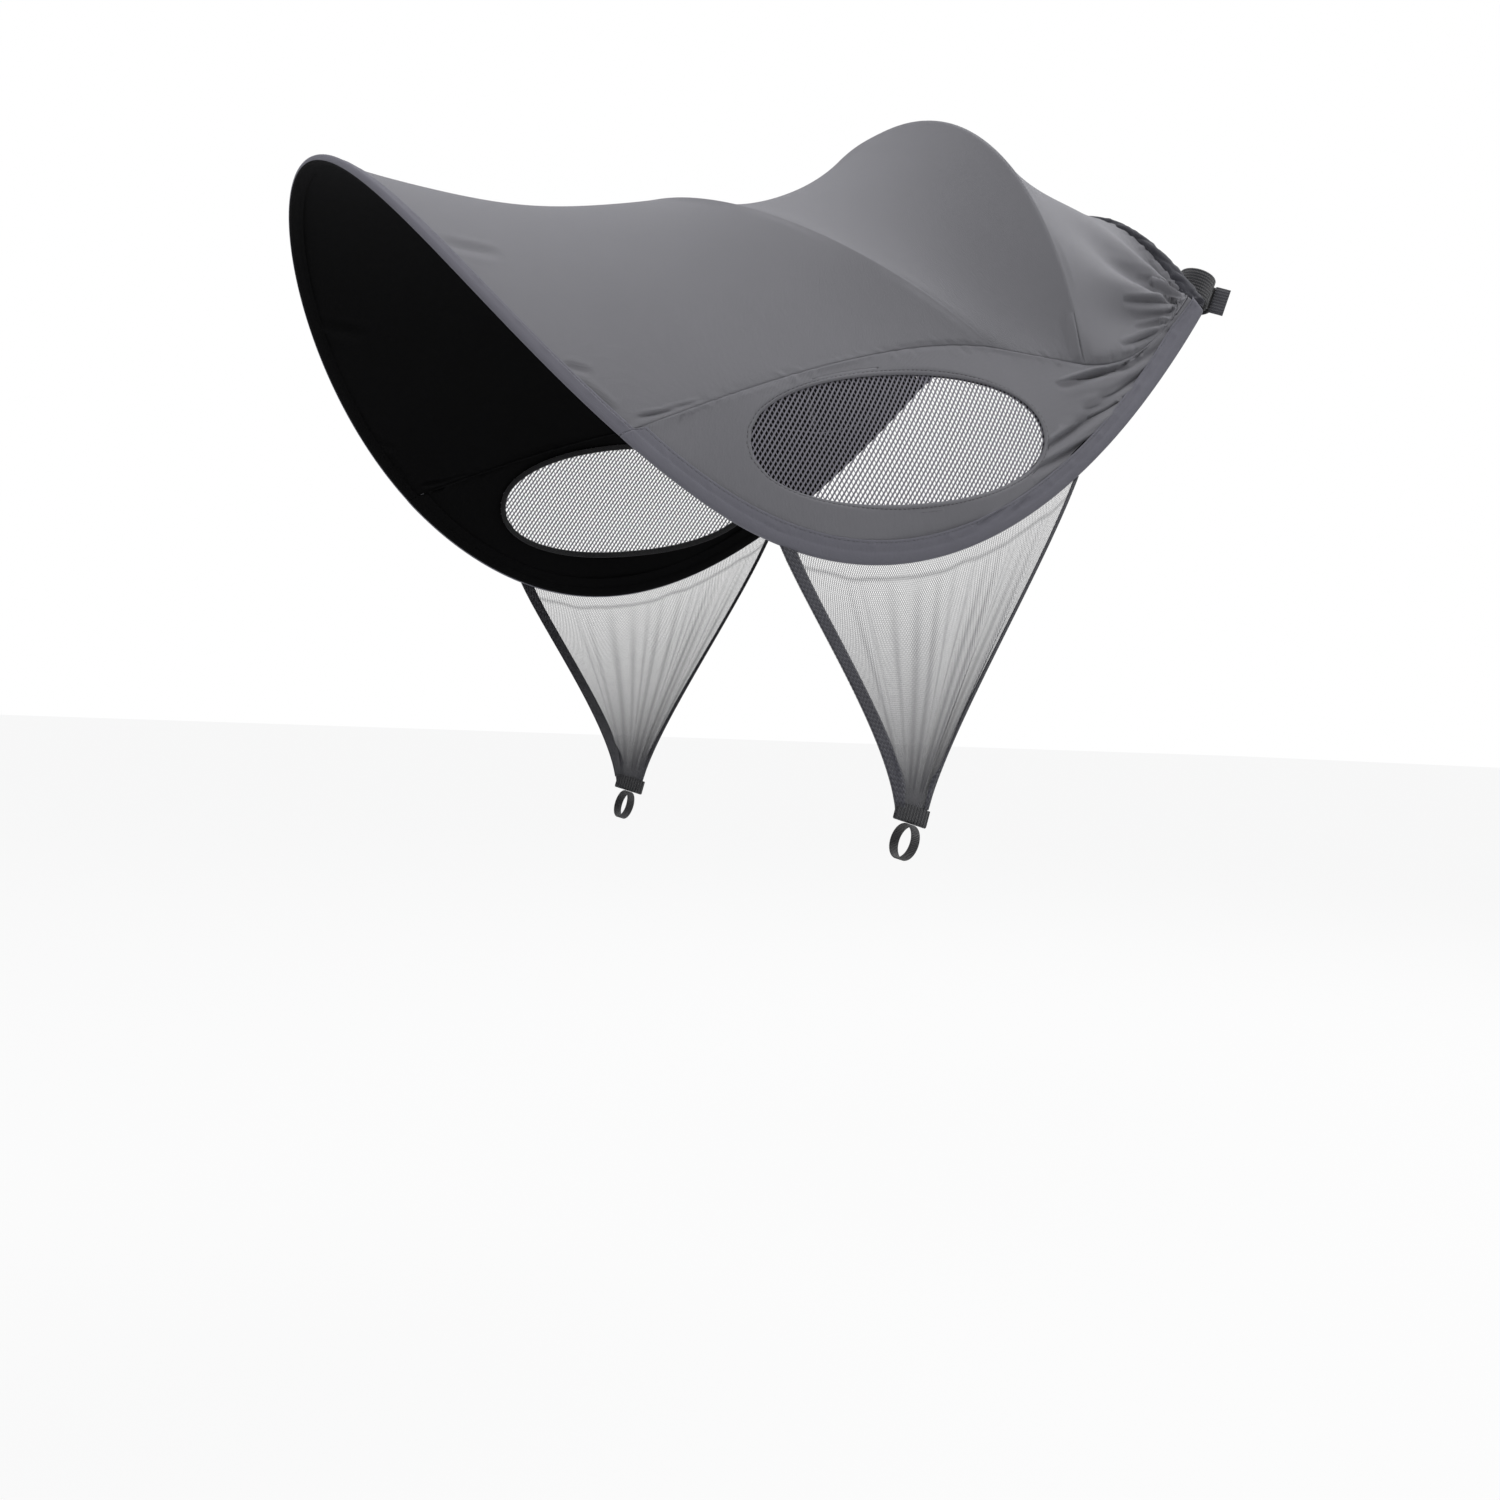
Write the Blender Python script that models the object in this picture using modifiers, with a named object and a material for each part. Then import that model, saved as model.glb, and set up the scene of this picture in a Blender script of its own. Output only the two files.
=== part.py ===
"""Pram sun shade: a stretch-cloth hood on a sprung rim and two bows, with hanging mesh wings.

Metres, +Z up. The origin lies midway between the two rear corners, where straps go round the
handle tubes of the pram. X runs across the shade, and the peak of the visor points along -Y.
"""
import math

import bmesh
import bpy
import numpy as np
from mathutils import Matrix, Vector
from mathutils.bvhtree import BVHTree

# Cloth, tape and clearances
CLEARANCE = 0.0003
SEAM_GAP = 0.00025
CREASE_GAP = 0.0008
CLOTH = 0.0012
TAPE = 0.0010
NET = 0.0006
SHEER = 0.0008

# Rim, from the peak of the visor down to its lowest stretch and back up to a rear corner
PEAK_FORWARD = 0.699
PEAK_RISE = 0.044
PEAK_HANDLE = 0.132
RIM_WAIST = (0.240, -0.472, -0.210)
RIM_WAIST_HANDLE = (0.010, 0.146, -0.076)
CORNER_HALF_GAP = 0.205
CORNER_HANDLE = (-0.050, 0.173, 0.214)
RIM_WIRE_DIAMETER = 0.0025

# Bows across the hood
MID_BOW_FOOT = (0.215, -0.2205, -0.062)
MID_BOW_HEIGHT = 0.243
MID_BOW_LEAN = -60.0
MID_BOW_FULLNESS = 2.0
REAR_BOW_FOOT = (0.210, -0.124, -0.062)
REAR_BOW_HEIGHT = 0.240
REAR_BOW_LEAN = -17.0
REAR_BOW_FULLNESS = 2.4
BOW_DIAMETER = 0.0025
SLEEVE_DIAMETER = 0.0052
SLEEVE_WALL = 0.0006
SLEEVE_END_GAP = 0.014

# Rear hem
HEM_HEIGHT = 0.122
HEM_LEAN = 5.0
HEM_DIAMETER = 0.0100
HEM_WALL = 0.0008
HEM_RUCHING = 0.12
HEM_END_GAP = 0.026
ELASTIC_DIAMETER = 0.0030

# How the cloth hangs between what stretches it
SEAM_START = -0.537
SEAM_FRONT_HANDLE = (0.0, 0.100, 0.047)
SEAM_MID_HANDLE = (0.0, 0.090, 0.003)
CORNER_TOP = (0.206, -0.018, 0.0145)
CORNER_TOP_HANDLE = (0.0, 0.028, 0.0355)
SEAM_REAR_HANDLE = (0.0, 0.045, 0.004)
VISOR_SAG = 0.016
CROWN_SAG = 0.028
REAR_SAG = 0.010
SIDE_BULGE = 0.012
CORNER_FOLD_HEIGHT = 0.004
CORNER_FOLD_REACH = 0.085
CORNER_FOLDS = 4

# Folded edge bands
BINDING_WIDTH = 0.008
BAND_WIDTH = 0.015
BAND_MARGIN = 0.003
LEG_START = 0.004
LEG_SPREAD = 0.85
FOLD_ANGLES = (20.0, 65.0, 115.0, 160.0)
FOLD_TURN_ROW = 3
FACET_MARGIN = 0.00018

# Windows in the side panels
WINDOW_CENTRE = (-0.312, -0.1460)
WINDOW_LENGTH = 0.264
WINDOW_HEIGHT = 0.098
WINDOW_TILT = 9.0
WINDOW_FULLNESS = 2.2
WINDOW_TAPE_WIDTH = 0.005
NET_MARGIN = 0.0045
NET_CELLS = (13, 6)
NET_STRAND = 0.0036

# Plastic tips on the ends of the wires
TIP_DIAMETER = 0.0036
TIP_LENGTH = 0.009
TIP_BORE_DEPTH = 0.006
TIP_ROUNDING = (0.6, 0.85)
TIP_SIDES = 8
BOW_STICK_OUT = TIP_BORE_DEPTH + 2 * CLEARANCE
RIM_WIRE_END_GAP = 0.0135

# Straps round the handle tubes
TUBE_DIAMETER = 0.028
TUBE_CENTRE = (0.170, 0.0255, 0.029)
TUBE_LEAN = 21.0
STRAP_WIDTH = 0.025
STRAP = 0.0016
PATCH = 0.0010
PATCH_WIDTH = 0.020
STRAP_START = 100.0
STRAP_END = -211.0
PATCH_START = 98.0
PATCH_END = 66.0
PATCH_INSET = 6.0
TAIL_RISE = (1.5, 11.0, 24.0)
TAB_LENGTH = 0.012
TAB_ANGLE = 50.0

# Mesh wings
WING_FRONT = -0.420
WING_REAR = -0.150
WING_FOOT_FRONT = (-0.313, -0.424)
WING_FOOT_REAR = (-0.287, -0.431)
WING_FRONT_HANDLES = ((0.024, -0.045), (-0.006, 0.055))
WING_REAR_HANDLES = ((-0.035, -0.085), (0.006, 0.055))
WING_FOLD_HEIGHT = 0.006
WING_FOLDS = 3.5
WING_HEM_WIDTH = 0.014
WING_BINDING_WIDTH = 0.007
WING_HEM_SHARE = 0.3
WING_BINDING_SHARE = 0.15
WING_FLAT_HEIGHT = 0.0143
TAB_HEIGHT = 0.011
TAB_OVERHANG = 0.0012
TAB_FOLD_DROP = 0.0006
TAB_FOLD_START = 0.0006
LOOP_DIAMETER = 0.025
LOOP_BAND = 0.0012
LOOP_WIDTH = 0.008
LOOP_SIDES = 24

# How finely the curves are divided
ARCH_COLUMNS = 14
VISOR_ROWS = 8
CROWN_ROWS = 6
REAR_ROWS = 7
SIDE_ROWS = 4
WINDOW_STEPS = 40
WING_COLUMNS = 18
WING_ROWS = 12
TUBE_RESOLUTION = 1

SIDES = (("left", -1.0), ("right", 1.0))
HOOD_MIDDLE = np.array([0.0, -0.33, -0.10])


def clear_scene():
    for item in list(bpy.data.objects):
        bpy.data.objects.remove(item, do_unlink=True)


def make_collection(name):
    collection = bpy.data.collections.new(name)
    bpy.context.scene.collection.children.link(collection)
    return collection


def make_material(name, colour, roughness, metallic=0.0):
    material = bpy.data.materials.new(name)
    material.use_nodes = True
    shader = material.node_tree.nodes["Principled BSDF"]
    shader.inputs["Base Color"].default_value = (*colour, 1.0)
    shader.inputs["Roughness"].default_value = roughness
    shader.inputs["Metallic"].default_value = metallic
    return material


def smooth(mesh, angle=40.0):
    mesh.shade_smooth()
    mesh.set_sharp_from_angle(angle=math.radians(angle))


def make_pivot(name, place, parent=None):
    pivot = bpy.data.objects.new(name, None)
    pivot.empty_display_size = 0.02
    SHADE.objects.link(pivot)
    origin = Vector(place)
    if parent:
        pivot.parent = parent
        origin = origin - world_place(parent)
    pivot.location = origin
    return pivot


def world_place(pivot):
    place = Vector(pivot.location)
    while pivot.parent:
        pivot = pivot.parent
        place += Vector(pivot.location)
    return place


def add_object(name, data, material, pivot):
    """Link the data, drawn in world coordinates, as an object that turns with its pivot."""
    item = bpy.data.objects.new(name, data)
    SHADE.objects.link(item)
    data.materials.append(material)
    if pivot:
        data.transform(Matrix.Translation(-world_place(pivot)))
        item.parent = pivot
    return item


def add_solidify(item, thickness, offset=0.0):
    shell = item.modifiers.new("thickness", "SOLIDIFY")
    shell.thickness = thickness
    shell.offset = offset
    return shell


def grid_mesh(name, grid, holes=None, turn_row=0):
    """An open sheet through a grid of points, as triangles whose diagonals all lean one way.

    Rows before turn_row lean the other way, so that both legs of a folded strip match the
    cloth between them. Cells in holes are left out.
    """
    rows, columns = grid.shape[:2]
    faces = []
    for row in range(rows - 1):
        for column in range(columns - 1):
            first = row * columns + column
            second, third, fourth = first + 1, first + columns + 1, first + columns
            if holes and (row, column) in holes:
                continue
            if row < turn_row:
                faces += [(first, second, fourth), (second, third, fourth)]
            else:
                faces += [(first, second, third), (first, third, fourth)]
    mesh = bpy.data.meshes.new(name)
    mesh.from_pydata([tuple(point) for point in grid.reshape(-1, 3)], [], faces)
    smooth(mesh)
    return mesh


def make_sheet(name, grid, thickness, material, pivot, turn_row=0):
    item = add_object(name, grid_mesh(name, grid, turn_row=turn_row), material, pivot)
    add_solidify(item, thickness)
    return item


def make_mirrored_sheet(name, grid, thickness, material, pivot, turn_row=0):
    """A sheet whose first column lies on the middle plane, mirrored across it."""
    item = add_object(name, grid_mesh(name, grid, turn_row=turn_row), material, pivot)
    mirror = item.modifiers.new("other side", "MIRROR")
    mirror.merge_threshold = 0.0001
    add_solidify(item, thickness)
    return item


def curve_data(name, points, radius, caps, scales=None):
    data = bpy.data.curves.new(name, "CURVE")
    data.dimensions = "3D"
    data.bevel_depth = radius
    data.bevel_resolution = TUBE_RESOLUTION
    data.use_fill_caps = caps
    spline = data.splines.new("POLY")
    spline.points.add(len(points) - 1)
    for index, point in enumerate(points):
        spline.points[index].co = (*point, 1.0)
        if scales is not None:
            spline.points[index].radius = scales[index]
    return data


def make_wire(name, points, diameter, material, pivot):
    data = curve_data(name, points, diameter / 2, True)
    return add_object(name, data, material, pivot)


def make_casing(name, points, diameter, wall, material, pivot, scales=None):
    """A cloth tube with open ends."""
    data = curve_data(name, points, diameter / 2, False, scales)
    guide = bpy.data.objects.new(name + "_path", data)
    CUTTERS.objects.link(guide)
    evaluated = guide.evaluated_get(bpy.context.evaluated_depsgraph_get())
    mesh = bpy.data.meshes.new_from_object(evaluated)
    bpy.data.objects.remove(guide, do_unlink=True)
    mesh.materials.clear()
    smooth(mesh, 60.0)
    item = add_object(name, mesh, material, pivot)
    add_solidify(item, wall, -1.0)
    return item


def unit(vectors):
    return vectors / np.linalg.norm(vectors, axis=-1, keepdims=True)


def mirrored(points):
    """The same points on the other side of the middle plane."""
    return points * np.array([-1.0, 1.0, 1.0])


def on_side(points, side):
    """Points drawn for the right side, kept or mirrored."""
    return points if side > 0 else mirrored(points)


def both_halves(half):
    """A path from one foot over the middle to the other foot, from its half."""
    return np.concatenate([mirrored(half[:0:-1]), half])


def bezier(start, start_handle, end_handle, end, count=200):
    t = np.linspace(0.0, 1.0, count)[:, None]
    return ((1 - t) ** 3 * start + 3 * (1 - t) ** 2 * t * start_handle
            + 3 * (1 - t) * t ** 2 * end_handle + t ** 3 * end)


def lengths_along(path):
    steps = np.linalg.norm(np.diff(path, axis=0), axis=1)
    return np.concatenate([[0.0], np.cumsum(steps)])


def points_at(path, lengths):
    along = lengths_along(path)
    return np.stack([np.interp(lengths, along, path[:, axis]) for axis in range(3)], axis=1)


def evenly(path, count):
    return points_at(path, np.linspace(0.0, lengths_along(path)[-1], count))


def superellipse(angles, fullness):
    """Cosine and sine of an oval that grows squarer as its fullness rises above 2."""
    power = 2.0 / fullness
    cosines = np.sign(np.cos(angles)) * np.abs(np.cos(angles)) ** power
    sines = np.sign(np.sin(angles)) * np.abs(np.sin(angles)) ** power
    return cosines, sines


def bow_half(foot, height, lean, fullness):
    """Half of a bow, from its top in the middle plane down to its foot."""
    up, across = superellipse(np.linspace(0.0, math.pi / 2, 400), fullness)
    rise = np.array([0.0, math.sin(math.radians(lean)), math.cos(math.radians(lean))])
    middle = np.array([0.0, foot[1], foot[2]])
    half = middle + across[:, None] * np.array([foot[0], 0, 0]) + (up * height)[:, None] * rise
    return evenly(half, ARCH_COLUMNS + 1)


def hem_half():
    across = np.linspace(0.0, CORNER_HALF_GAP, 400)
    up = HEM_HEIGHT * (1 - (across / CORNER_HALF_GAP) ** 2)
    lean = math.radians(HEM_LEAN)
    half = np.stack([across, up * math.sin(lean), up * math.cos(lean)], axis=1)
    return half


def outward_normals(grid):
    """Unit normals of a grid of points, turned away from the inside of the hood."""
    down_rows = np.gradient(grid, axis=0)
    along_columns = np.gradient(grid, axis=1)
    normals = np.cross(down_rows, along_columns)
    away = np.sum(normals * (grid - HOOD_MIDDLE), axis=2, keepdims=True)
    normals = unit(normals * np.sign(away))
    on_middle = np.abs(grid[..., 0]) < 1e-6
    normals[on_middle, 0] = 0.0
    return unit(normals)


# The rim and the seams, worked out once for every piece that follows them

PEAK = np.array([0.0, -PEAK_FORWARD, PEAK_RISE])
WAIST = np.array(RIM_WAIST)
CORNER = np.array([CORNER_HALF_GAP, 0.0, 0.0])
RIM = np.concatenate([
    bezier(PEAK, PEAK + [PEAK_HANDLE, 0, 0], WAIST - RIM_WAIST_HANDLE, WAIST),
    bezier(WAIST, WAIST + RIM_WAIST_HANDLE, CORNER - CORNER_HANDLE, CORNER)[1:],
])
RIM_LENGTHS = lengths_along(RIM)
START_LENGTH = np.interp(SEAM_START, RIM[:200, 1], RIM_LENGTHS[:200])
SEAM_FOOT = points_at(RIM, [START_LENGTH])[0]

FRONT_RIM = points_at(RIM, np.linspace(0.0, START_LENGTH, ARCH_COLUMNS + 1))
MID_BOW = bow_half(MID_BOW_FOOT, MID_BOW_HEIGHT, MID_BOW_LEAN, MID_BOW_FULLNESS)
REAR_BOW = bow_half(REAR_BOW_FOOT, REAR_BOW_HEIGHT, REAR_BOW_LEAN, REAR_BOW_FULLNESS)
HEM = evenly(hem_half(), ARCH_COLUMNS + 1)

WIRE_EDGE = TIP_DIAMETER / 2 + 2 * CLEARANCE
SEAM_FRONT = bezier(SEAM_FOOT, SEAM_FOOT + SEAM_FRONT_HANDLE,
                    np.array(MID_BOW_FOOT) - SEAM_MID_HANDLE, np.array(MID_BOW_FOOT))
SEAM_REAR = bezier(np.array(REAR_BOW_FOOT), np.array(REAR_BOW_FOOT) + SEAM_REAR_HANDLE,
                   np.array(CORNER_TOP) - CORNER_TOP_HANDLE, np.array(CORNER_TOP))


def visor_steps():
    """Distances along the front seam at which the rows of the visor cross it."""
    total = lengths_along(SEAM_FRONT)[-1]
    first = [WIRE_EDGE, BINDING_WIDTH, BINDING_WIDTH + BAND_MARGIN]
    return np.concatenate([first, np.linspace(first[-1], total, VISOR_ROWS + 1)[1:]])


VISOR_STEPS = visor_steps()
VISOR_SEAM = points_at(SEAM_FRONT, VISOR_STEPS)
CROWN_SEAM = np.linspace(MID_BOW_FOOT, REAR_BOW_FOOT, CROWN_ROWS + 1)
REAR_SEAM = evenly(SEAM_REAR, REAR_ROWS + 1)


def stretched(first, last, shares, seam, sag):
    """Cloth between two arches: straight lines, bent to the seam and drawn in by its tension."""
    across = np.linspace(0.0, 1.0, first.shape[0])[None, :, None]
    shares = np.asarray(shares)[:, None, None]
    grid = (1 - shares) * first + shares * last
    to_seam = seam - grid[:, -1]
    grid = grid + across ** 3 * to_seam[:, None, :]
    dip = sag * 4 * shares * (1 - shares) * (1 - across ** 4)
    return grid - outward_normals(grid) * dip


def corner_folds(grid):
    """Gathers that fan out from the corner over the rear panel."""
    arms = grid - CORNER
    reach = np.linalg.norm(arms, axis=2)
    angle = np.arctan2(arms[..., 2], -arms[..., 1])
    swell = reach / CORNER_FOLD_REACH
    height = CORNER_FOLD_HEIGHT * swell * np.exp(1 - swell ** 2)
    wave = np.sin(angle * 2 * CORNER_FOLDS) * height
    free = np.ones(grid.shape[:2])
    free[0] = 0.0
    free[-1] = 0.0
    free[:, -1] = 0.0
    return grid + outward_normals(grid) * (wave * free)[..., None]


def hood_grid():
    """Visor and crown as one grid, from the front edge of the cloth to the rear bow."""
    total = lengths_along(SEAM_FRONT)[-1]
    visor = stretched(FRONT_RIM, MID_BOW, VISOR_STEPS / total, VISOR_SEAM, VISOR_SAG)
    shares = np.linspace(0.0, 1.0, CROWN_ROWS + 1)
    crown = stretched(MID_BOW, REAR_BOW, shares, CROWN_SEAM, CROWN_SAG)
    return np.concatenate([visor, crown[1:]])


def rear_grid():
    shares = np.linspace(0.0, 1.0, REAR_ROWS + 1)
    return corner_folds(stretched(REAR_BOW, HEM, shares, REAR_SEAM, REAR_SAG))


def pulled_in(grid, row_start=0.0, row_end=0.0, column_start=0.0, column_end=0.0):
    """The grid with its outer rows and columns drawn in by a distance."""
    result = grid.copy()
    if row_start:
        result[0] += unit(grid[1] - grid[0]) * row_start
    if row_end:
        result[-1] += unit(grid[-2] - grid[-1]) * row_end
    if column_start:
        result[:, 0] += unit(grid[:, 1] - grid[:, 0]) * column_start
    if column_end:
        result[:, -1] += unit(grid[:, -2] - grid[:, -1]) * column_end
    return result


def side_frame():
    """Feet on the rim and heads on the seam of each upright column of the side panel."""
    heads = np.concatenate([VISOR_SEAM[2:], CROWN_SEAM[1:], REAR_SEAM[1:]])
    spread = lengths_along(heads) / lengths_along(heads)[-1]
    feet = points_at(RIM, START_LENGTH + spread * (RIM_LENGTHS[-1] - START_LENGTH))
    return feet, heads


def side_grid():
    """Rows of the side panel: cloth edge by the wire, top of the band, then up to the seam."""
    feet, heads = side_frame()
    tall = np.linalg.norm(heads - feet, axis=1)
    band = np.minimum(BAND_WIDTH, tall - BAND_MARGIN)
    bulge = SIDE_BULGE * (tall / tall.max()) ** 2
    levels = [np.full_like(tall, WIRE_EDGE), band]
    for step in range(1, SIDE_ROWS + 1):
        levels.append(band + (tall - band) * step / SIDE_ROWS)
    grid = []
    for level in levels:
        share = (level / tall)[:, None]
        swell = (bulge[:, None] * 4 * share * (1 - share)) * np.array([1.0, 0.0, 0.0])
        grid.append(feet + (heads - feet) * share + swell)
    return feet, np.array(grid)


HOOD = hood_grid()
REAR = rear_grid()
SIDE_FEET, SIDE = side_grid()


def make_canopy(material, pivot):
    grid = pulled_in(HOOD, row_end=CREASE_GAP, column_end=SEAM_GAP)
    return make_mirrored_sheet("canopy_panel", grid, CLOTH, material, pivot)


def make_rear_panel(material, pivot):
    to_hem = HEM_DIAMETER / 2 * (1 + HEM_RUCHING) + CLEARANCE
    grid = pulled_in(REAR, row_start=CREASE_GAP, row_end=to_hem, column_end=CREASE_GAP)
    return make_mirrored_sheet("rear_panel", grid, CLOTH, material, pivot)


def fold_grid(edge, top, top_normals):
    """A strip folded round the wire: outer leg, half turn below the wire, inner leg."""
    rise = unit(top - edge)
    normals = unit(top_normals - rise * np.sum(top_normals * rise, axis=1, keepdims=True))
    turn = TIP_DIAMETER / 2 + CLEARANCE + FACET_MARGIN + TAPE / 2
    low = edge + rise * LEG_START
    low_offset = normals * turn * LEG_SPREAD
    top_offset = top_normals * (CLOTH / 2 + CLEARANCE + TAPE / 2)
    rows = [top + top_offset, low + low_offset]
    for angle in FOLD_ANGLES:
        side = math.cos(math.radians(angle))
        down = math.sin(math.radians(angle))
        rows.append(edge + (normals * side - rise * down) * turn)
    rows += [low - low_offset, top - top_offset]
    return np.array(rows)


def make_rim_binding(material, pivot):
    normals = outward_normals(HOOD)[1]
    grid = fold_grid(FRONT_RIM, HOOD[1], normals)
    grid = pulled_in(grid, column_end=SEAM_GAP)
    return make_mirrored_sheet("rim_binding", grid, TAPE, material, pivot, FOLD_TURN_ROW)


def make_lower_bands(material, pivot):
    normals = outward_normals(SIDE)[1]
    grid = fold_grid(SIDE_FEET, SIDE[1], normals)
    grid = pulled_in(grid, column_start=SEAM_GAP)
    for name, side in SIDES:
        make_sheet("lower_band_" + name, on_side(grid, side), TAPE, material, pivot, FOLD_TURN_ROW)


def window_outline(margin, count, reach=0.0):
    """Points of the window's oval at one depth, widened by a margin."""
    angles = np.linspace(0.0, 2 * math.pi, count, endpoint=False)
    cosines, sines = superellipse(angles, WINDOW_FULLNESS)
    flat = np.stack([cosines * (WINDOW_LENGTH / 2 + margin),
                     sines * (WINDOW_HEIGHT / 2 + margin)], axis=1)
    return window_place(flat, reach)


def window_place(flat, reach=0.0):
    tilt = math.radians(WINDOW_TILT)
    along = flat[..., 0] * math.cos(tilt) - flat[..., 1] * math.sin(tilt)
    up = flat[..., 0] * math.sin(tilt) + flat[..., 1] * math.cos(tilt)
    depth = np.full_like(along, reach)
    return np.stack([depth, along + WINDOW_CENTRE[0], up + WINDOW_CENTRE[1]], axis=-1)


def make_window_cutter():
    """One oval prism that passes through both side panels."""
    mesh = bpy.data.meshes.new("window_cutter")
    shape = bmesh.new()
    bmesh.ops.create_cone(shape, cap_ends=True, segments=WINDOW_STEPS, radius1=1.0, radius2=1.0,
                          depth=2 * (RIM_WAIST[0] + 2 * SIDE_BULGE))
    for vertex in shape.verts:
        angle = np.array([math.atan2(vertex.co.y, vertex.co.x)])
        cosine, sine = superellipse(angle, WINDOW_FULLNESS)
        flat = np.stack([cosine * WINDOW_LENGTH / 2, sine * WINDOW_HEIGHT / 2], axis=1)
        vertex.co = Vector(window_place(flat, vertex.co.z)[0])
    bmesh.ops.recalc_face_normals(shape, faces=shape.faces)
    shape.to_mesh(mesh)
    shape.free()
    cutter = bpy.data.objects.new("window_cutter", mesh)
    CUTTERS.objects.link(cutter)
    cutter.hide_render = True
    cutter.display_type = "WIRE"
    return cutter


def make_side_panels(material, pivot, cutter):
    grid = pulled_in(SIDE, row_end=SEAM_GAP, column_start=SEAM_GAP)
    for name, side in SIDES:
        item = make_sheet("side_panel_" + name, on_side(grid, side), CLOTH, material, pivot)
        cut = item.modifiers.new("window", "BOOLEAN")
        cut.operation = "DIFFERENCE"
        cut.object = cutter


def side_surface():
    mesh = grid_mesh("side_surface", SIDE)
    corners = [vertex.co.copy() for vertex in mesh.vertices]
    faces = [tuple(face.vertices) for face in mesh.polygons]
    bpy.data.meshes.remove(mesh)
    return BVHTree.FromPolygons(corners, faces)


def laid_inside(points, surface, inset):
    """Points moved along X to lie an even way inside the side panel."""
    placed = points.copy()
    for index in np.ndindex(points.shape[:-1]):
        y, z = points[index][1:]
        hit = surface.ray_cast(Vector((1.0, y, z)), Vector((-1.0, 0.0, 0.0)))[0]
        placed[index] = (hit.x - inset, y, z)
    return placed


def net_grid(surface, inset):
    """The net as a grid that fills the oval, each inner cell with a square gap."""
    along, up = NET_CELLS
    length = WINDOW_LENGTH / 2 + NET_MARGIN
    height = WINDOW_HEIGHT / 2 + NET_MARGIN
    ways = []
    for cells, half in ((along, NET_STRAND / 2 / length), (up, NET_STRAND / 2 / height)):
        lines = np.linspace(-1.0, 1.0, cells + 1)
        inner = [(line - half, line + half) for line in lines[1:-1]]
        ways.append(np.array([-1.0, *[value for pair in inner for value in pair], 1.0]))
    a, b = np.meshgrid(ways[0], ways[1])
    flat = np.stack([a * np.sqrt(1 - b ** 2 / 2) * length,
                     b * np.sqrt(1 - a ** 2 / 2) * height], axis=-1)
    holes = {(row, column) for row in range(2, len(ways[1]) - 3, 2)
             for column in range(2, len(ways[0]) - 3, 2)}
    return laid_inside(window_place(flat), surface, inset), holes


def make_windows(net_material, tape_material, pivot):
    surface = side_surface()
    net_inset = CLOTH / 2 + 4 * CLEARANCE + NET / 2
    tape_inset = net_inset + NET / 2 + 2 * CLEARANCE + TAPE / 2
    net, holes = net_grid(surface, net_inset)
    rings = []
    for margin in (0.0, WINDOW_TAPE_WIDTH):
        ring = window_outline(margin, WINDOW_STEPS)
        rings.append(laid_inside(np.concatenate([ring, ring[:1]]), surface, tape_inset))
    for name, side in SIDES:
        mesh = grid_mesh("window_mesh_" + name, on_side(net, side), holes)
        item = add_object("window_mesh_" + name, mesh, net_material, pivot)
        add_solidify(item, NET)
        tape = grid_mesh("window_tape_" + name, on_side(np.array(rings), side))
        weld_mesh(tape)
        item = add_object("window_tape_" + name, tape, tape_material, pivot)
        add_solidify(item, TAPE)


def weld_mesh(mesh):
    shape = bmesh.new()
    shape.from_mesh(mesh)
    bmesh.ops.remove_doubles(shape, verts=shape.verts, dist=0.00001)
    shape.to_mesh(mesh)
    shape.free()


def tip_mesh(bore_diameter):
    """A cap for a wire end: a turned cup whose mouth faces along -Z."""
    outer = TIP_DIAMETER / 2
    bore = bore_diameter / 2
    nose, shoulder = outer * TIP_ROUNDING[0], TIP_LENGTH * TIP_ROUNDING[1]
    profile = [(0.0, TIP_LENGTH), (nose, TIP_LENGTH), (outer, shoulder), (outer, 0.0),
               (bore, 0.0), (bore, TIP_BORE_DEPTH), (0.0, TIP_BORE_DEPTH)]
    mesh = bpy.data.meshes.new("tip_profile")
    mesh.from_pydata([(r, 0.0, z) for r, z in profile],
                     [(i, i + 1) for i in range(len(profile) - 1)], [])
    guide = bpy.data.objects.new("tip_profile", mesh)
    CUTTERS.objects.link(guide)
    screw = guide.modifiers.new("turned", "SCREW")
    screw.steps = TIP_SIDES
    screw.render_steps = TIP_SIDES
    screw.use_merge_vertices = True
    screw.merge_threshold = 0.00001
    evaluated = guide.evaluated_get(bpy.context.evaluated_depsgraph_get())
    turned = bpy.data.meshes.new_from_object(evaluated)
    bpy.data.objects.remove(guide, do_unlink=True)
    return turned


def make_tips(name, path, wire_diameter, material, pivot):
    """One cap on each end of a wire, its bore round the wire's last stretch."""
    ends = {"left": (path[0], path[1]), "right": (path[-1], path[-2])}
    for side, (end, before) in ends.items():
        away = Vector(end - before).normalized()
        place = Vector(end) - away * (TIP_BORE_DEPTH - CLEARANCE)
        turn = away.to_track_quat("Z", "Y").to_matrix().to_4x4()
        mesh = tip_mesh(wire_diameter + 2 * CLEARANCE)
        mesh.transform(Matrix.Translation(place) @ turn)
        weld_mesh(mesh)
        smooth(mesh)
        add_object(name + "_" + side, mesh, material, pivot)


def rim_wire_path():
    """The same stations as the folded bands, so that the wire runs true inside them."""
    half = np.concatenate([FRONT_RIM, SIDE_FEET[1:]])
    total = lengths_along(half)[-1]
    kept = lengths_along(half) < total - RIM_WIRE_END_GAP
    half = np.concatenate([half[kept], points_at(half, [total - RIM_WIRE_END_GAP])])
    return both_halves(half)


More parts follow.
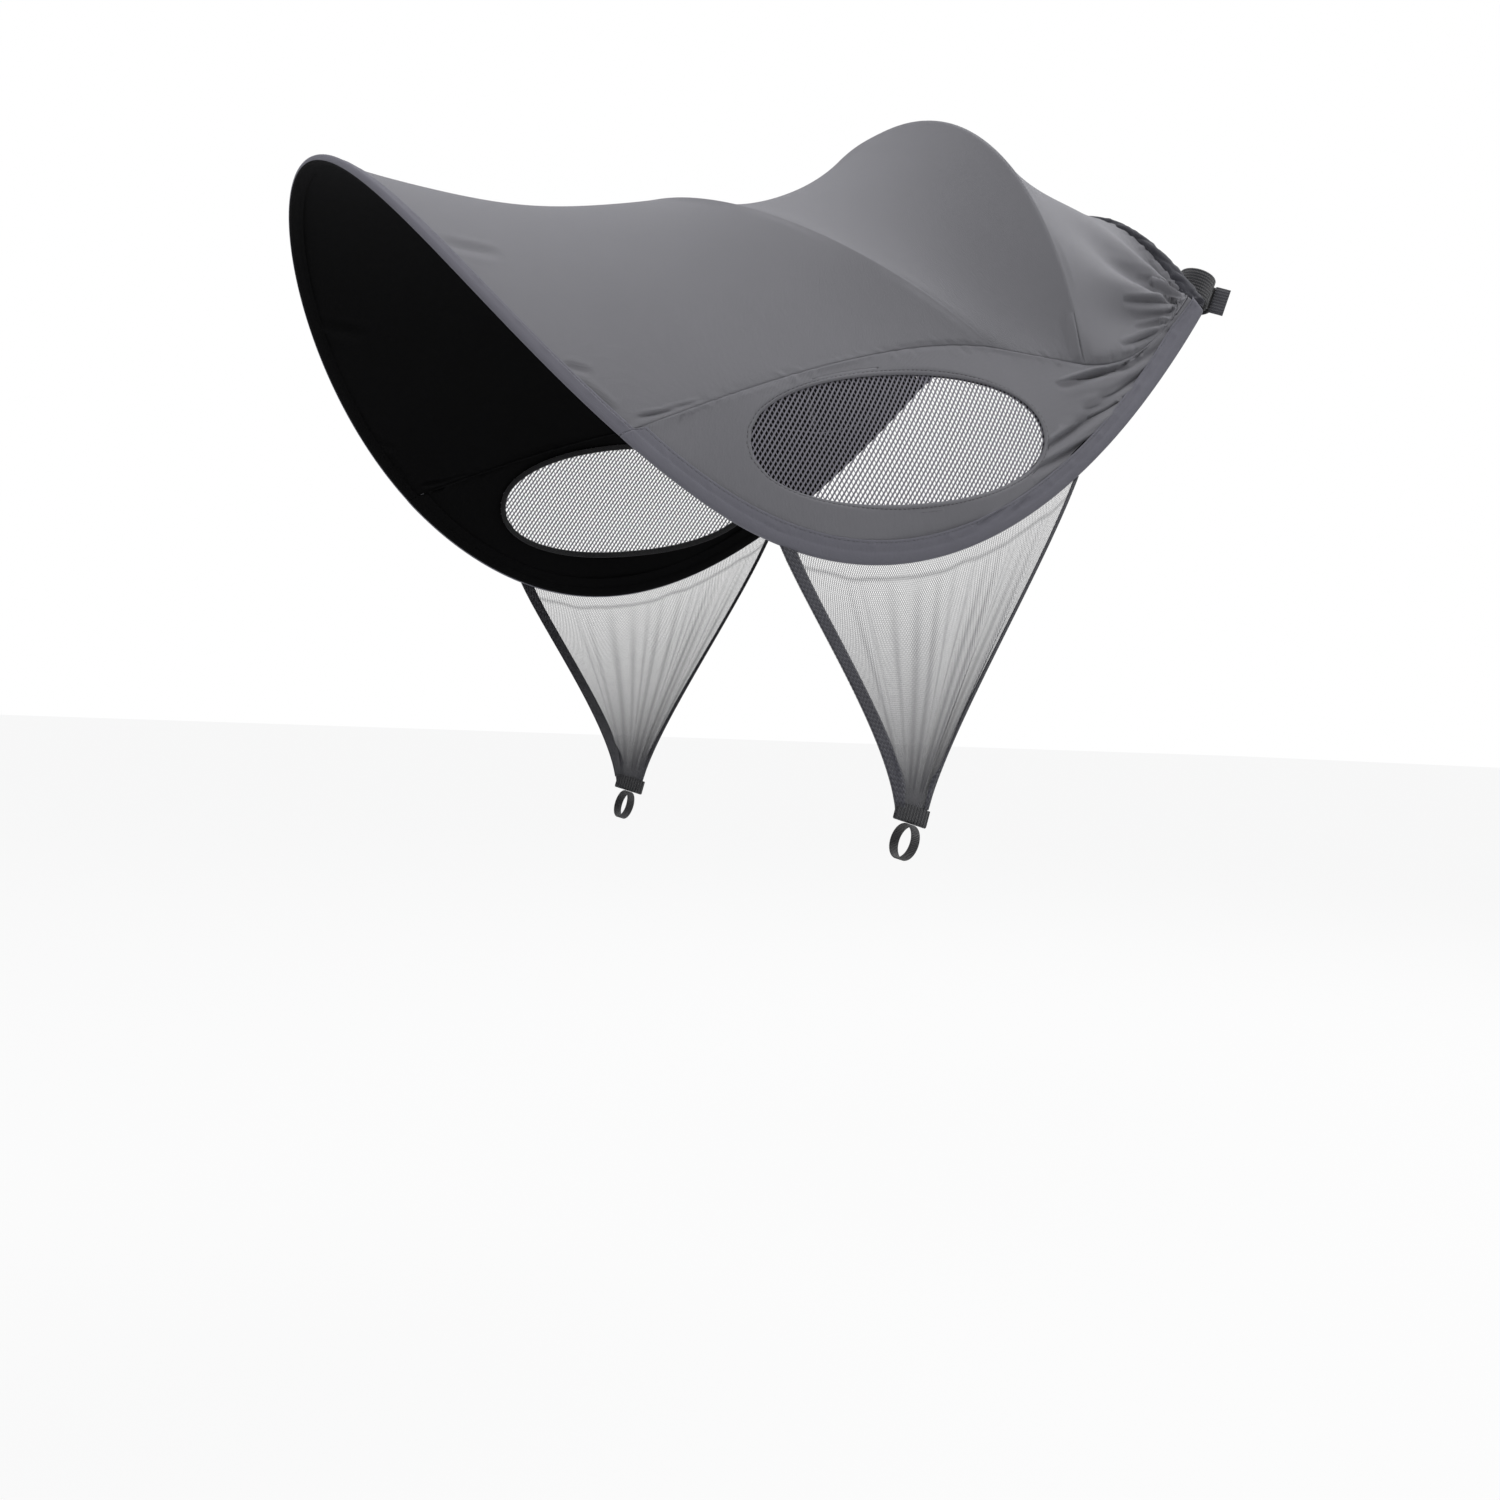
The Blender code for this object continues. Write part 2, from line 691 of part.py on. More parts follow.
def under_bow(before, bow, after):
    """The bow's own line, inside the crease that the cloth makes over its sleeve."""
    first = unit(bow - before)
    second = unit(after - bow)
    sideways = np.gradient(bow, axis=0)
    bisector = unit(np.cross(first + second, sideways))
    away = np.sum(bisector * (bow - HOOD_MIDDLE), axis=1, keepdims=True)
    bisector = bisector * np.sign(away)
    bisector[0, 0] = 0.0
    half_bend = np.sqrt((1 + np.sum(first * second, axis=1, keepdims=True)) / 2)
    depth = (SLEEVE_DIAMETER / 2 + CLEARANCE * 2 + CLOTH / 2) / half_bend
    return bow - unit(bisector) * depth


def make_bow(name, line, sleeve_tape, steel, plastic, pivot):
    total = lengths_along(line)[-1]
    along = np.linspace(0.0, total - SLEEVE_END_GAP, ARCH_COLUMNS + 1)
    sleeve = points_at(line, along)
    along[-1] += BOW_STICK_OUT
    bow = points_at(line, along)
    make_casing(name + "_sleeve", both_halves(sleeve), SLEEVE_DIAMETER, SLEEVE_WALL, sleeve_tape,
                pivot)
    make_wire(name, both_halves(bow), BOW_DIAMETER, steel, pivot)
    make_tips(name + "_tip", both_halves(bow), BOW_DIAMETER, plastic, pivot)


def make_hem(cloth, rubber, pivot):
    path = hem_half()
    total = lengths_along(path)[-1]
    half = points_at(path, np.linspace(0.0, total - HEM_END_GAP, ARCH_COLUMNS + 3))
    line = both_halves(half)
    ruched = [1.0 + HEM_RUCHING * (-1) ** index for index in range(len(line))]
    make_casing("rear_hem", line, HEM_DIAMETER, HEM_WALL, cloth, pivot, ruched)
    make_wire("rear_elastic", line, ELASTIC_DIAMETER, rubber, pivot)


# Straps round the handle tubes

TUBE_AXIS = np.array([0.0, math.sin(math.radians(TUBE_LEAN)), math.cos(math.radians(TUBE_LEAN))])
TUBE_OUT = np.array([1.0, 0.0, 0.0])
TUBE_BACK = np.cross(TUBE_AXIS, TUBE_OUT)
RING_RADIUS = TUBE_DIAMETER / 2 + CLEARANCE + STRAP / 2
LOOP_PATCH_RADIUS = RING_RADIUS + STRAP / 2 + CLEARANCE + PATCH / 2
HOOK_PATCH_RADIUS = LOOP_PATCH_RADIUS + PATCH + CLEARANCE
TAIL_RADIUS = HOOK_PATCH_RADIUS + PATCH / 2 + CLEARANCE + STRAP / 2
TAIL_HINGE_ANGLE = 360.0 + STRAP_END - 1.0


def round_tube(radius, angle):
    angle = math.radians(angle)
    return (np.array(TUBE_CENTRE) + TUBE_OUT * radius * math.cos(angle)
            + TUBE_BACK * radius * math.sin(angle))


def across_strap(path, width):
    """Two edges of a strap that follows a path round the tube."""
    half = TUBE_AXIS * width / 2
    return np.array([path - half, path + half])


def arc(radius, start, end, step=12.0):
    count = max(2, round(abs(end - start) / step) + 1)
    return np.array([round_tube(radius, angle) for angle in np.linspace(start, end, count)])


def tail_hinge():
    return round_tube(RING_RADIUS + STRAP / 2, TAIL_HINGE_ANGLE)


def tail_path():
    """Strap end that steps out over the patches and ends in a tab that stands off."""
    foot, step, top = (TAIL_HINGE_ANGLE - turn for turn in TAIL_RISE)
    rise = [round_tube(RING_RADIUS, foot), round_tube((RING_RADIUS + TAIL_RADIUS) / 2, step)]
    wrap = arc(TAIL_RADIUS, top, PATCH_END + PATCH_INSET)
    angle = math.radians(TAB_ANGLE)
    tab_way = TUBE_OUT * math.cos(angle) + TUBE_BACK * math.sin(angle)
    tab = [wrap[-1] + tab_way * TAB_LENGTH / 2, wrap[-1] + tab_way * TAB_LENGTH]
    return np.concatenate([rise, wrap, tab])


def make_corner_straps(webbing, fluff, hooks):
    ring = across_strap(arc(RING_RADIUS, STRAP_START, STRAP_END), STRAP_WIDTH)
    loops = across_strap(arc(LOOP_PATCH_RADIUS, PATCH_START, PATCH_END), PATCH_WIDTH)
    hook = across_strap(arc(HOOK_PATCH_RADIUS, PATCH_START, PATCH_END + PATCH_INSET), PATCH_WIDTH)
    tail = across_strap(tail_path(), STRAP_WIDTH)
    for name, side in SIDES:
        hinge = make_pivot("strap_tail_pivot_" + name, on_side(tail_hinge(), side))
        make_sheet("corner_strap_" + name, on_side(ring, side), STRAP, webbing, None)
        make_sheet("loop_patch_" + name, on_side(loops, side), PATCH, fluff, None)
        make_sheet("hook_patch_" + name, on_side(hook, side), PATCH, hooks, hinge)
        make_sheet("strap_tail_" + name, on_side(tail, side), STRAP, webbing, hinge)


# Mesh wings that hang below the bands

def wing_edges():
    """Top edge below the band, then front, rear and lower edges of the wing."""
    drop = TIP_DIAMETER / 2 + TAPE * 1.5 + CLEARANCE * 3
    ahead = RIM[:, 1] > SEAM_START
    first = np.interp(WING_FRONT, RIM[ahead, 1], RIM_LENGTHS[ahead])
    last = np.interp(WING_REAR, RIM[ahead, 1], RIM_LENGTHS[ahead])
    lengths = np.linspace(first, last, WING_COLUMNS + 1)
    rim = points_at(RIM, lengths)
    rise = unit(SIDE[1] - SIDE_FEET)
    feet_along = START_LENGTH + lengths_along(SIDE_FEET)
    up = unit(np.stack([np.interp(lengths, feet_along, rise[:, axis]) for axis in range(3)], axis=1))
    return rim, rim - up * drop


def wing_side(top, handles, foot, levels):
    first, last = (np.array([0.0, *handle]) for handle in handles)
    path = bezier(top, top + first, foot + last, foot)
    return points_at(path, levels * lengths_along(path)[-1])


def wing_grid():
    rim, top = wing_edges()
    plane = rim[:, 0].mean()
    foot_front = np.array([plane, *WING_FOOT_FRONT])
    foot_rear = np.array([plane, *WING_FOOT_REAR])
    flat_share = WING_FLAT_HEIGHT / abs(foot_front[2] - top[0][2])
    levels = np.concatenate([np.linspace(0.0, 1.0 - flat_share, WING_ROWS), [1.0]])
    front = wing_side(top[0], WING_FRONT_HANDLES, foot_front, levels)
    rear = wing_side(top[-1], WING_REAR_HANDLES, foot_rear, levels)
    grid = []
    for level, fore, aft in zip(levels, front, rear):
        width = np.linalg.norm(aft - fore)
        hem = min(WING_HEM_WIDTH / width, WING_HEM_SHARE)
        binding = min(WING_BINDING_WIDTH / width, WING_BINDING_SHARE)
        shares = np.concatenate([[0.0], np.linspace(hem, 1.0 - binding, WING_COLUMNS - 1), [1.0]])
        upper = points_at(top, shares * lengths_along(top)[-1])
        lower = foot_front + (foot_rear - foot_front) * shares[:, None]
        span = upper * (1 - level) + lower * level
        ends = fore - span[0], aft - span[-1]
        span = span + (1 - shares)[:, None] * ends[0] + shares[:, None] * ends[1]
        folds = np.sin(2 * math.pi * WING_FOLDS * shares) * np.sin(math.pi * shares) ** 0.5
        calm = math.sin(math.pi * min(level / (1.0 - flat_share), 1.0) ** 1.3)
        span[:, 0] += WING_FOLD_HEIGHT * calm * folds
        grid.append(span)
    return np.array(grid), rim


WING, WING_RIM = wing_grid()
WING_FOOT = WING[-1][[0, -1]]
FOOT_ALONG = unit(WING_FOOT[1] - WING_FOOT[0])
FOOT_OUT = np.array([1.0, 0.0, 0.0])
FOOT_RISE = unit(np.cross(FOOT_OUT, FOOT_ALONG))
TAB_CENTRE = SHEER / 2 + CLEARANCE + TAPE / 2


def tab_grid():
    """Webbing folded under the foot of the wing."""
    foot = WING_FOOT + np.array([-FOOT_ALONG, FOOT_ALONG]) * TAB_OVERHANG
    top = foot + FOOT_RISE * TAB_HEIGHT
    leg = foot + FOOT_RISE * TAB_FOLD_START
    low = foot - FOOT_RISE * TAB_FOLD_DROP
    out = FOOT_OUT * TAB_CENTRE
    return np.array([top + out, leg + out, low + out, low - FOOT_RISE * TAB_CENTRE,
                     low - out, leg - out, top - out])


def loop_hinge():
    """The middle of the tab's fold, in which the loop is caught."""
    return WING_FOOT.mean(axis=0) - FOOT_RISE * TAB_FOLD_DROP


def loop_grid():
    """Elastic band sewn into a ring that hangs just below the tab."""
    radius = (LOOP_DIAMETER + LOOP_BAND) / 2
    drop = TAB_CENTRE + TAPE / 2 + CLEARANCE + LOOP_BAND / 2 + radius
    middle = loop_hinge() - FOOT_RISE * drop
    edges = FOOT_ALONG * LOOP_WIDTH / 2
    ring = []
    for angle in np.linspace(0.0, 2 * math.pi, LOOP_SIDES, endpoint=False):
        place = middle + (FOOT_OUT * math.cos(angle) + FOOT_RISE * math.sin(angle)) * radius
        ring.append([place - edges, place + edges])
    ring.append(ring[0])
    return np.array(ring)


def make_wings(sheer, hem_cloth, webbing, rubber, hood):
    hem_rows = WING[:-1] + outward_normals(WING)[:-1] * (SHEER + CLEARANCE)
    for name, side in SIDES:
        pivot = make_pivot("wing_pivot_" + name, on_side(WING_RIM[0], side), hood)
        loop_pivot = make_pivot("wing_loop_pivot_" + name, on_side(loop_hinge(), side), pivot)
        front_hem = on_side(hem_rows[:, :2], side)
        rear_binding = on_side(hem_rows[:, -2:], side)
        make_sheet("mesh_wing_" + name, on_side(WING, side), SHEER, sheer, pivot)
        make_sheet("wing_front_hem_" + name, front_hem, SHEER, hem_cloth, pivot)
        make_sheet("wing_rear_binding_" + name, rear_binding, SHEER, hem_cloth, pivot)
        make_sheet("wing_tab_" + name, on_side(tab_grid(), side), TAPE, webbing, pivot)
        mesh = grid_mesh("wing_loop_" + name, on_side(loop_grid(), side))
        weld_mesh(mesh)
        item = add_object("wing_loop_" + name, mesh, rubber, loop_pivot)
        add_solidify(item, LOOP_BAND)


clear_scene()
SHADE = make_collection("pram_sun_shade")
CUTTERS = make_collection("cutters")

CANOPY_GREY = make_material("canopy cloth", (0.19, 0.19, 0.20), 0.85)
SIDE_GREY = make_material("side cloth", (0.17, 0.17, 0.18), 0.85)
BAND_GREY = make_material("band cloth", (0.13, 0.13, 0.16), 0.80)
TAPE_BLACK = make_material("black tape", (0.02, 0.02, 0.02), 0.80)
NET_BLACK = make_material("window net", (0.03, 0.03, 0.035), 0.60)
SHEER_BLACK = make_material("sheer mesh", (0.03, 0.03, 0.03), 0.70)
WEBBING_BLACK = make_material("webbing", (0.03, 0.03, 0.035), 0.75)
FLUFF_BLACK = make_material("loop fastener", (0.03, 0.03, 0.03), 0.95)
HOOK_BLACK = make_material("hook fastener", (0.04, 0.04, 0.04), 0.50)
ELASTIC_BLACK = make_material("elastic", (0.03, 0.03, 0.03), 0.90)
SPRING_STEEL = make_material("spring steel", (0.55, 0.55, 0.57), 0.30, 1.0)
TIP_PLASTIC = make_material("tip plastic", (0.02, 0.02, 0.02), 0.45)

HOOD_PIVOT = make_pivot("hood_pivot", (0.0, 0.0, 0.0))
WINDOW_CUTTER = make_window_cutter()

make_canopy(CANOPY_GREY, HOOD_PIVOT)
make_rear_panel(CANOPY_GREY, None)
make_side_panels(SIDE_GREY, HOOD_PIVOT, WINDOW_CUTTER)
make_windows(NET_BLACK, TAPE_BLACK, HOOD_PIVOT)
make_rim_binding(BAND_GREY, HOOD_PIVOT)
make_lower_bands(BAND_GREY, HOOD_PIVOT)
make_wire("rim_wire", rim_wire_path(), RIM_WIRE_DIAMETER, SPRING_STEEL, HOOD_PIVOT)
make_tips("rim_wire_tip", rim_wire_path(), RIM_WIRE_DIAMETER, TIP_PLASTIC, HOOD_PIVOT)
MID_ROW = len(VISOR_STEPS) - 1
make_bow("mid_bow", under_bow(HOOD[MID_ROW - 1], MID_BOW, HOOD[MID_ROW + 1]), TAPE_BLACK,
         SPRING_STEEL, TIP_PLASTIC, HOOD_PIVOT)
make_bow("rear_bow", under_bow(HOOD[-2], REAR_BOW, REAR[1]), TAPE_BLACK, SPRING_STEEL,
         TIP_PLASTIC, HOOD_PIVOT)
make_hem(BAND_GREY, ELASTIC_BLACK, None)
make_corner_straps(WEBBING_BLACK, FLUFF_BLACK, HOOK_BLACK)
make_wings(SHEER_BLACK, TAPE_BLACK, WEBBING_BLACK, ELASTIC_BLACK, HOOD_PIVOT)
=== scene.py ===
import math

import bmesh
import bpy
import numpy as np
from mathutils import Matrix, Vector


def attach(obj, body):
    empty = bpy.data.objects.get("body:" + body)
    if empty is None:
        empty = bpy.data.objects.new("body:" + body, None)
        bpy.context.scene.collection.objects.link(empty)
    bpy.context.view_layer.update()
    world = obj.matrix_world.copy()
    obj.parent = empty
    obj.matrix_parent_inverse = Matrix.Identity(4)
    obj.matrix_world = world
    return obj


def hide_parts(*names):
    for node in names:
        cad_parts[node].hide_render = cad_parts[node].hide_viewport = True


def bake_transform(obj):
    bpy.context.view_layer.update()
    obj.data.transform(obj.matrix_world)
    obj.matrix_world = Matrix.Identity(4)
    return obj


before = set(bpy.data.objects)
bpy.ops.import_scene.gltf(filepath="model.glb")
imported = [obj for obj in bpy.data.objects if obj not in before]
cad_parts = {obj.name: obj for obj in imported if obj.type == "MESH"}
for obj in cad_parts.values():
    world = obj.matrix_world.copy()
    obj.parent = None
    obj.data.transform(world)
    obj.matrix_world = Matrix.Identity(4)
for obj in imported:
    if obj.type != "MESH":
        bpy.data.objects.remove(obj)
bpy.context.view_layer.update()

bpy.ops.object.select_all(action="DESELECT")
print("frame loaded")

# All lengths in metres. X runs across the shade, the peak of the visor points along -Y, and the
# rear corners with their straps are at Y 0.

# the camera of the photograph: its place, the way that it looks, and its focal length in pixels
shot = {
    "place": (1.310, -1.035, -0.363),
    "azimuth": 60.749,
    "elevation": 0.742,
    "roll": 2.143,
    "focal": 1743.6,
    "pixels": 1500.0,
    "sensor": 36.0,
}

# the curves that the cloth is stretched over
hood = {
    "middle": (0.0, -0.33, -0.10),
    "peak": (0.0, -0.699, 0.044),
    "peakHandle": 0.132,
    "waist": (0.240, -0.472, -0.210),
    "waistHandle": (0.010, 0.146, -0.076),
    "corner": (0.205, 0.0, 0.0),
    "cornerHandle": (-0.050, 0.173, 0.214),
    "seamStart": -0.537,
    "seamFrontHandle": (0.0, 0.100, 0.047),
    "seamMidHandle": (0.0, 0.090, 0.003),
    "seamRearHandle": (0.0, 0.045, 0.004),
    "cornerTop": (0.2057, -0.0126, 0.0102),
    "cornerTopHandle": (0.0, 0.038, 0.0485),
    "midFoot": (0.215, -0.2205, -0.062),
    "midHeight": 0.243,
    "midLean": -60.0,
    "midFullness": 2.0,
    "rearFoot": (0.210, -0.124, -0.062),
    "rearHeight": 0.240,
    "rearLean": -17.0,
    "rearFullness": 2.4,
    "hemHeight": 0.122,
    "hemLean": 5.0,
}

cloth = {"thickness": 0.0011, "tape": 0.0010, "gap": 0.0003}

sides = (("left", -1.0), ("right", 1.0))
curvePoints = 400


# curves and grids of points

def unit(vectors):
    return vectors / np.maximum(np.linalg.norm(vectors, axis=-1, keepdims=True), 1e-12)


def mirrored(points):
    return points * np.array([-1.0, 1.0, 1.0])


def onSide(points, side):
    return points if side > 0 else mirrored(points)


def bothHalves(half, axis=0):
    # the two halves share their first point or column, which is kept once
    other = np.flip(mirrored(half), axis).take(range(half.shape[axis] - 1), axis)
    return np.concatenate([other, half], axis)


def bezier(start, startHandle, endHandle, end):
    t = np.linspace(0.0, 1.0, curvePoints)[:, None]
    first = (1 - t) ** 3 * start + 3 * (1 - t) ** 2 * t * startHandle
    return first + 3 * (1 - t) * t ** 2 * endHandle + t ** 3 * end


def lengthsAlong(path):
    steps = np.linalg.norm(np.diff(path, axis=0), axis=1)
    return np.concatenate([[0.0], np.cumsum(steps)])


def interpolate(at, places, values):
    # the rows of values belong to places, and are wanted at other places
    return np.stack([np.interp(at, places, values[:, axis]) for axis in range(3)], axis=-1)


def pointsAt(path, lengths):
    return interpolate(lengths, lengthsAlong(path), path)


def atShares(path, shares):
    return pointsAt(path, np.asarray(shares) * lengthsAlong(path)[-1])


def superellipse(angles, fullness):
    power = 2.0 / fullness
    cosines = np.sign(np.cos(angles)) * np.abs(np.cos(angles)) ** power
    sines = np.sign(np.sin(angles)) * np.abs(np.sin(angles)) ** power
    return cosines, sines


def bowHalf(foot, height, lean, fullness):
    up, across = superellipse(np.linspace(0.0, math.pi / 2, 1200), fullness)
    rise = np.array([0.0, math.sin(math.radians(lean)), math.cos(math.radians(lean))])
    middle = np.array([0.0, foot[1], foot[2]])
    return middle + across[:, None] * np.array([foot[0], 0, 0]) + (up * height)[:, None] * rise


def hemHalf():
    across = np.linspace(0.0, hood["corner"][0], 600)
    up = hood["hemHeight"] * (1 - (across / hood["corner"][0]) ** 2)
    lean = math.radians(hood["hemLean"])
    return np.stack([across, up * math.sin(lean), up * math.cos(lean)], axis=1)


def outwardNormals(grid):
    downRows = np.gradient(grid, axis=0)
    alongColumns = np.gradient(grid, axis=1)
    normals = np.cross(downRows, alongColumns)
    away = np.sum(normals * (grid - np.array(hood["middle"])), axis=2, keepdims=True)
    return unit(normals * np.sign(away))


def viewAxes():
    turn, rise, roll = (math.radians(shot[key]) for key in ("azimuth", "elevation", "roll"))
    flat = math.cos(rise)
    ahead = np.array([-math.sin(turn) * flat, math.cos(turn) * flat, -math.sin(rise)])
    level = unit(np.cross(ahead, [0.0, 0.0, 1.0]))
    upright = np.cross(level, ahead)
    right = level * math.cos(roll) + upright * math.sin(roll)
    up = upright * math.cos(roll) - level * math.sin(roll)
    return right, up, ahead


def inPhoto(points):
    # where points of the near side show in the photograph; the far side is taken as its mirror
    right, up, ahead = viewAxes()
    near = points * np.where(points[..., :1] < 0, np.array([-1.0, 1.0, 1.0]), 1.0)
    arms = near - np.array(shot["place"])
    scale = shot["focal"] / (arms @ ahead)
    middle = shot["pixels"] / 2
    return np.stack([middle + scale * (arms @ right), middle - scale * (arms @ up)], axis=-1)


crease = {
    "farShift": (2.5, -2.0),
    "steep": 1.35,
    "gentle": 0.8,
    "taper": 0.6,
    "lip": 0.42,
    "lipAt": 1.9,
    "lipWidth": 0.8,
}


def creaseDepth(points, creases):
    # how far the creases press the cloth in; each is a start and an end in the photograph's
    # pixels, a depth in millimetres and half a width in pixels; a crease is steeper on the upper
    # side where it runs to the right, and a depth below 0 is a ridge; on the far side they are
    # shifted a little
    spots = inPhoto(points)
    spots = spots + np.where(points[..., :1] < 0, np.array(crease["farShift"]), 0.0)
    total = np.zeros(spots.shape[:-1])
    for start, end, depth, width in creases:
        way = np.array(end, dtype=float) - start
        share = np.clip(((spots - start) @ way) / (way @ way), 0.0, 1.0)
        off = spots - start - share[..., None] * way
        hand = way[0] * off[..., 1] - way[1] * off[..., 0]
        aside = np.linalg.norm(off, axis=-1) / width
        aside = aside * np.where(hand < 0, crease["steep"], crease["gentle"])
        taper = (1 - (2 * share - 1) ** 2) ** crease["taper"]
        lip = np.exp(-((aside - crease["lipAt"]) / crease["lipWidth"]) ** 2)
        total += depth * 0.001 * taper * (np.exp(-aside ** 2) - crease["lip"] * lip)
    return total


def ripple(values, seed, octaves=3):
    # an uneven wave about 1 unit long, the same on every run
    total = np.zeros_like(values, dtype=float)
    for octave in range(octaves):
        pace = 2 * math.pi * (0.7 + 0.45 * octave)
        total += np.sin(values * pace + seed * (1.7 + 2.3 * octave)) / (1 + 0.6 * octave)
    return total / 2.0


# meshes

def makePiece(name, mesh, finishes):
    item = bpy.data.objects.new(name, mesh)
    bpy.context.scene.collection.objects.link(item)
    for finish in finishes:
        mesh.materials.append(finish)
    return item


def applyModifiers(item):
    bpy.ops.object.select_all(action="DESELECT")
    bpy.context.view_layer.objects.active = item
    item.select_set(True)
    for modifier in list(item.modifiers):
        bpy.ops.object.modifier_apply(modifier=modifier.name)
    item.select_set(False)


def thicken(item, thickness, lining=0):
    shell = item.modifiers.new("thickness", "SOLIDIFY")
    shell.thickness = thickness
    shell.offset = 0.0
    shell.material_offset = lining
    applyModifiers(item)


def gridFaces(rows, columns, closed=False):
    cells = np.arange(rows * columns).reshape(rows, columns)
    if closed:
        cells = np.concatenate([cells, cells[:, :1]], axis=1)
    corners = [cells[:-1, :-1], cells[:-1, 1:], cells[1:, 1:], cells[1:, :-1]]
    return np.stack([corner.ravel() for corner in corners], axis=1)


def recalculate(mesh):
    # every face turned to the outside of its closed shape
    shape = bmesh.new()
    shape.from_mesh(mesh)
    bmesh.ops.recalc_face_normals(shape, faces=shape.faces)
    shape.to_mesh(mesh)
    shape.free()


def layFlat(mesh, flat):
    # flat is each point's place on the cloth in metres
    layer = mesh.uv_layers.new(name="cloth")
    corners = np.zeros(len(mesh.loops), dtype=np.int32)
    mesh.loops.foreach_get("vertex_index", corners)
    layer.data.foreach_set("uv", flat[corners].astype(np.float32).ravel())


def meshFrom(name, points, faces, flat, outward, marks):
    # outward is a direction for the faces to face
    mesh = bpy.data.meshes.new(name)
    arms = points[faces[:, 2]] - points[faces[:, 0]]
    others = points[faces[:, 3]] - points[faces[:, 1]]
    facing = np.sum(np.cross(arms, others) * outward[faces[:, 0]], axis=1)
    if np.sum(facing) < 0:
        faces = faces[:, ::-1]
    mesh.from_pydata(points.tolist(), [], faces.tolist())
    layFlat(mesh, flat)
    for key, values in (marks or {}).items():
        mark = mesh.attributes.new(key, "FLOAT", "POINT")
        mark.data.foreach_set("value", np.asarray(values, dtype=np.float32).ravel())
    mesh.shade_smooth()
    return mesh


def flatPlaces(grid):
    # each point's place on the cloth, from lengths along the rows and the columns
    across = np.linalg.norm(np.diff(grid, axis=1), axis=2)
    across = np.concatenate([np.zeros((len(grid), 1)), np.cumsum(across, axis=1)], axis=1)
    across -= across[:, -1:] / 2
    down = np.linalg.norm(np.diff(grid, axis=0), axis=2).mean(axis=1)
    down = np.concatenate([[0.0], np.cumsum(down)])[:, None] + np.zeros(grid.shape[:2])
    return np.stack([across, down], axis=-1)


def makeSheet(name, grid, finishes, thickness, lining=0, marks=None, normals=None, flat=None,
              turned=None):
    # turned is the row from which a folded strip is near-black: painted shade under its turn, and then
    # its inside leg
    points = grid.reshape(-1, 3)
    faces = gridFaces(*grid.shape[:2])
    if normals is None:
        normals = outwardNormals(grid)
    if flat is None:
        flat = flatPlaces(grid)
    mesh = meshFrom(name, points, faces, flat.reshape(-1, 2), normals.reshape(-1, 3), marks)
    item = makePiece(name, mesh, finishes)
    if turned is not None:
        inside = np.arange(len(faces)) // (grid.shape[1] - 1) >= turned
        mesh.polygons.foreach_set("material_index", inside.astype(np.int32))
    if thickness:
        thicken(item, thickness, lining)
    return item


def areaOf(grid):
    first = grid[1:, 1:] - grid[:-1, :-1]
    second = grid[1:, :-1] - grid[:-1, 1:]
    return float(np.linalg.norm(np.cross(first, second), axis=2).sum() / 2)


def sweepAxes(path, outward):
    # the way along a path, and the way out, square to it
    along = unit(np.gradient(path, axis=0))
    out = outward - along * np.sum(outward * along, axis=1, keepdims=True)
    return along, unit(out)


def sweep(name, path, outward, profile, finishes, caps=True, loop=False):
    # a profile of (sideways, outward) offsets drawn along a path; profile may change on the way
    along, out = sweepAxes(path, outward)
    beside = np.cross(along, out)
    profile = np.broadcast_to(profile, (len(path), *np.asarray(profile).shape[-2:]))
    rings = path[:, None] + beside[:, None] * profile[..., :1] + out[:, None] * profile[..., 1:]
    count, sections = len(path), profile.shape[1]
    faces = [tuple(face) for face in gridFaces(count, sections, closed=True)]
    if loop:
        last, first = (count - 1) * sections, 0
        for step in range(sections):
            after = (step + 1) % sections
            faces.append((last + step, last + after, first + after, first + step))
    elif caps:
        faces.append(tuple(range(sections))[::-1])
        faces.append(tuple(range((count - 1) * sections, count * sections)))
    mesh = bpy.data.meshes.new(name)
    mesh.from_pydata(rings.reshape(-1, 3).tolist(), [], faces)
    lengths = lengthsAlong(path)
    closed = np.concatenate([profile[0], profile[0][:1]])
    girth = np.concatenate([[0.0], np.cumsum(np.linalg.norm(np.diff(closed, axis=0), axis=1))])
    layer = mesh.uv_layers.new(name="cloth")
    for face in mesh.polygons:
        seam = max(corner % sections for corner in face.vertices) == sections - 1
        for spot, corner in zip(face.loop_indices, face.vertices):
            step = corner % sections
            around = girth[-1] if seam and step == 0 and len(face.vertices) == 4 else girth[step]
            layer.data[spot].uv = (lengths[corner // sections], around)
    recalculate(mesh)
    mesh.shade_smooth()
    mesh.set_sharp_from_angle(angle=math.radians(50))
    return makePiece(name, mesh, finishes)


def roundProfile(radius, sections):
    angles = np.linspace(0.0, 2 * math.pi, sections, endpoint=False)
    return np.stack([np.cos(angles), np.sin(angles)], axis=1) * radius


def flatProfile(width, thickness, steps=4):
    # a flat band with rounded selvedges
    turn = np.linspace(-math.pi / 2, math.pi / 2, 5)
    edge = np.stack([np.cos(turn), np.sin(turn)], axis=1) * thickness / 2
    right = edge + [width / 2 - thickness / 2, 0.0]
    left = right[::-1] * [-1.0, 1.0]
    middle = np.linspace(1.0, -1.0, steps + 2)[1:-1, None] * [width / 2 - thickness / 2, 0.0]
    top = middle + [0.0, thickness / 2]
    bottom = -middle - [0.0, thickness / 2]
    return np.concatenate([right, top, left, bottom])


stitch = {"pitch": 0.0040, "wander": 0.0003, "length": 0.0029, "full": 0.6, "radius": 0.00024,
          "lines": 5}


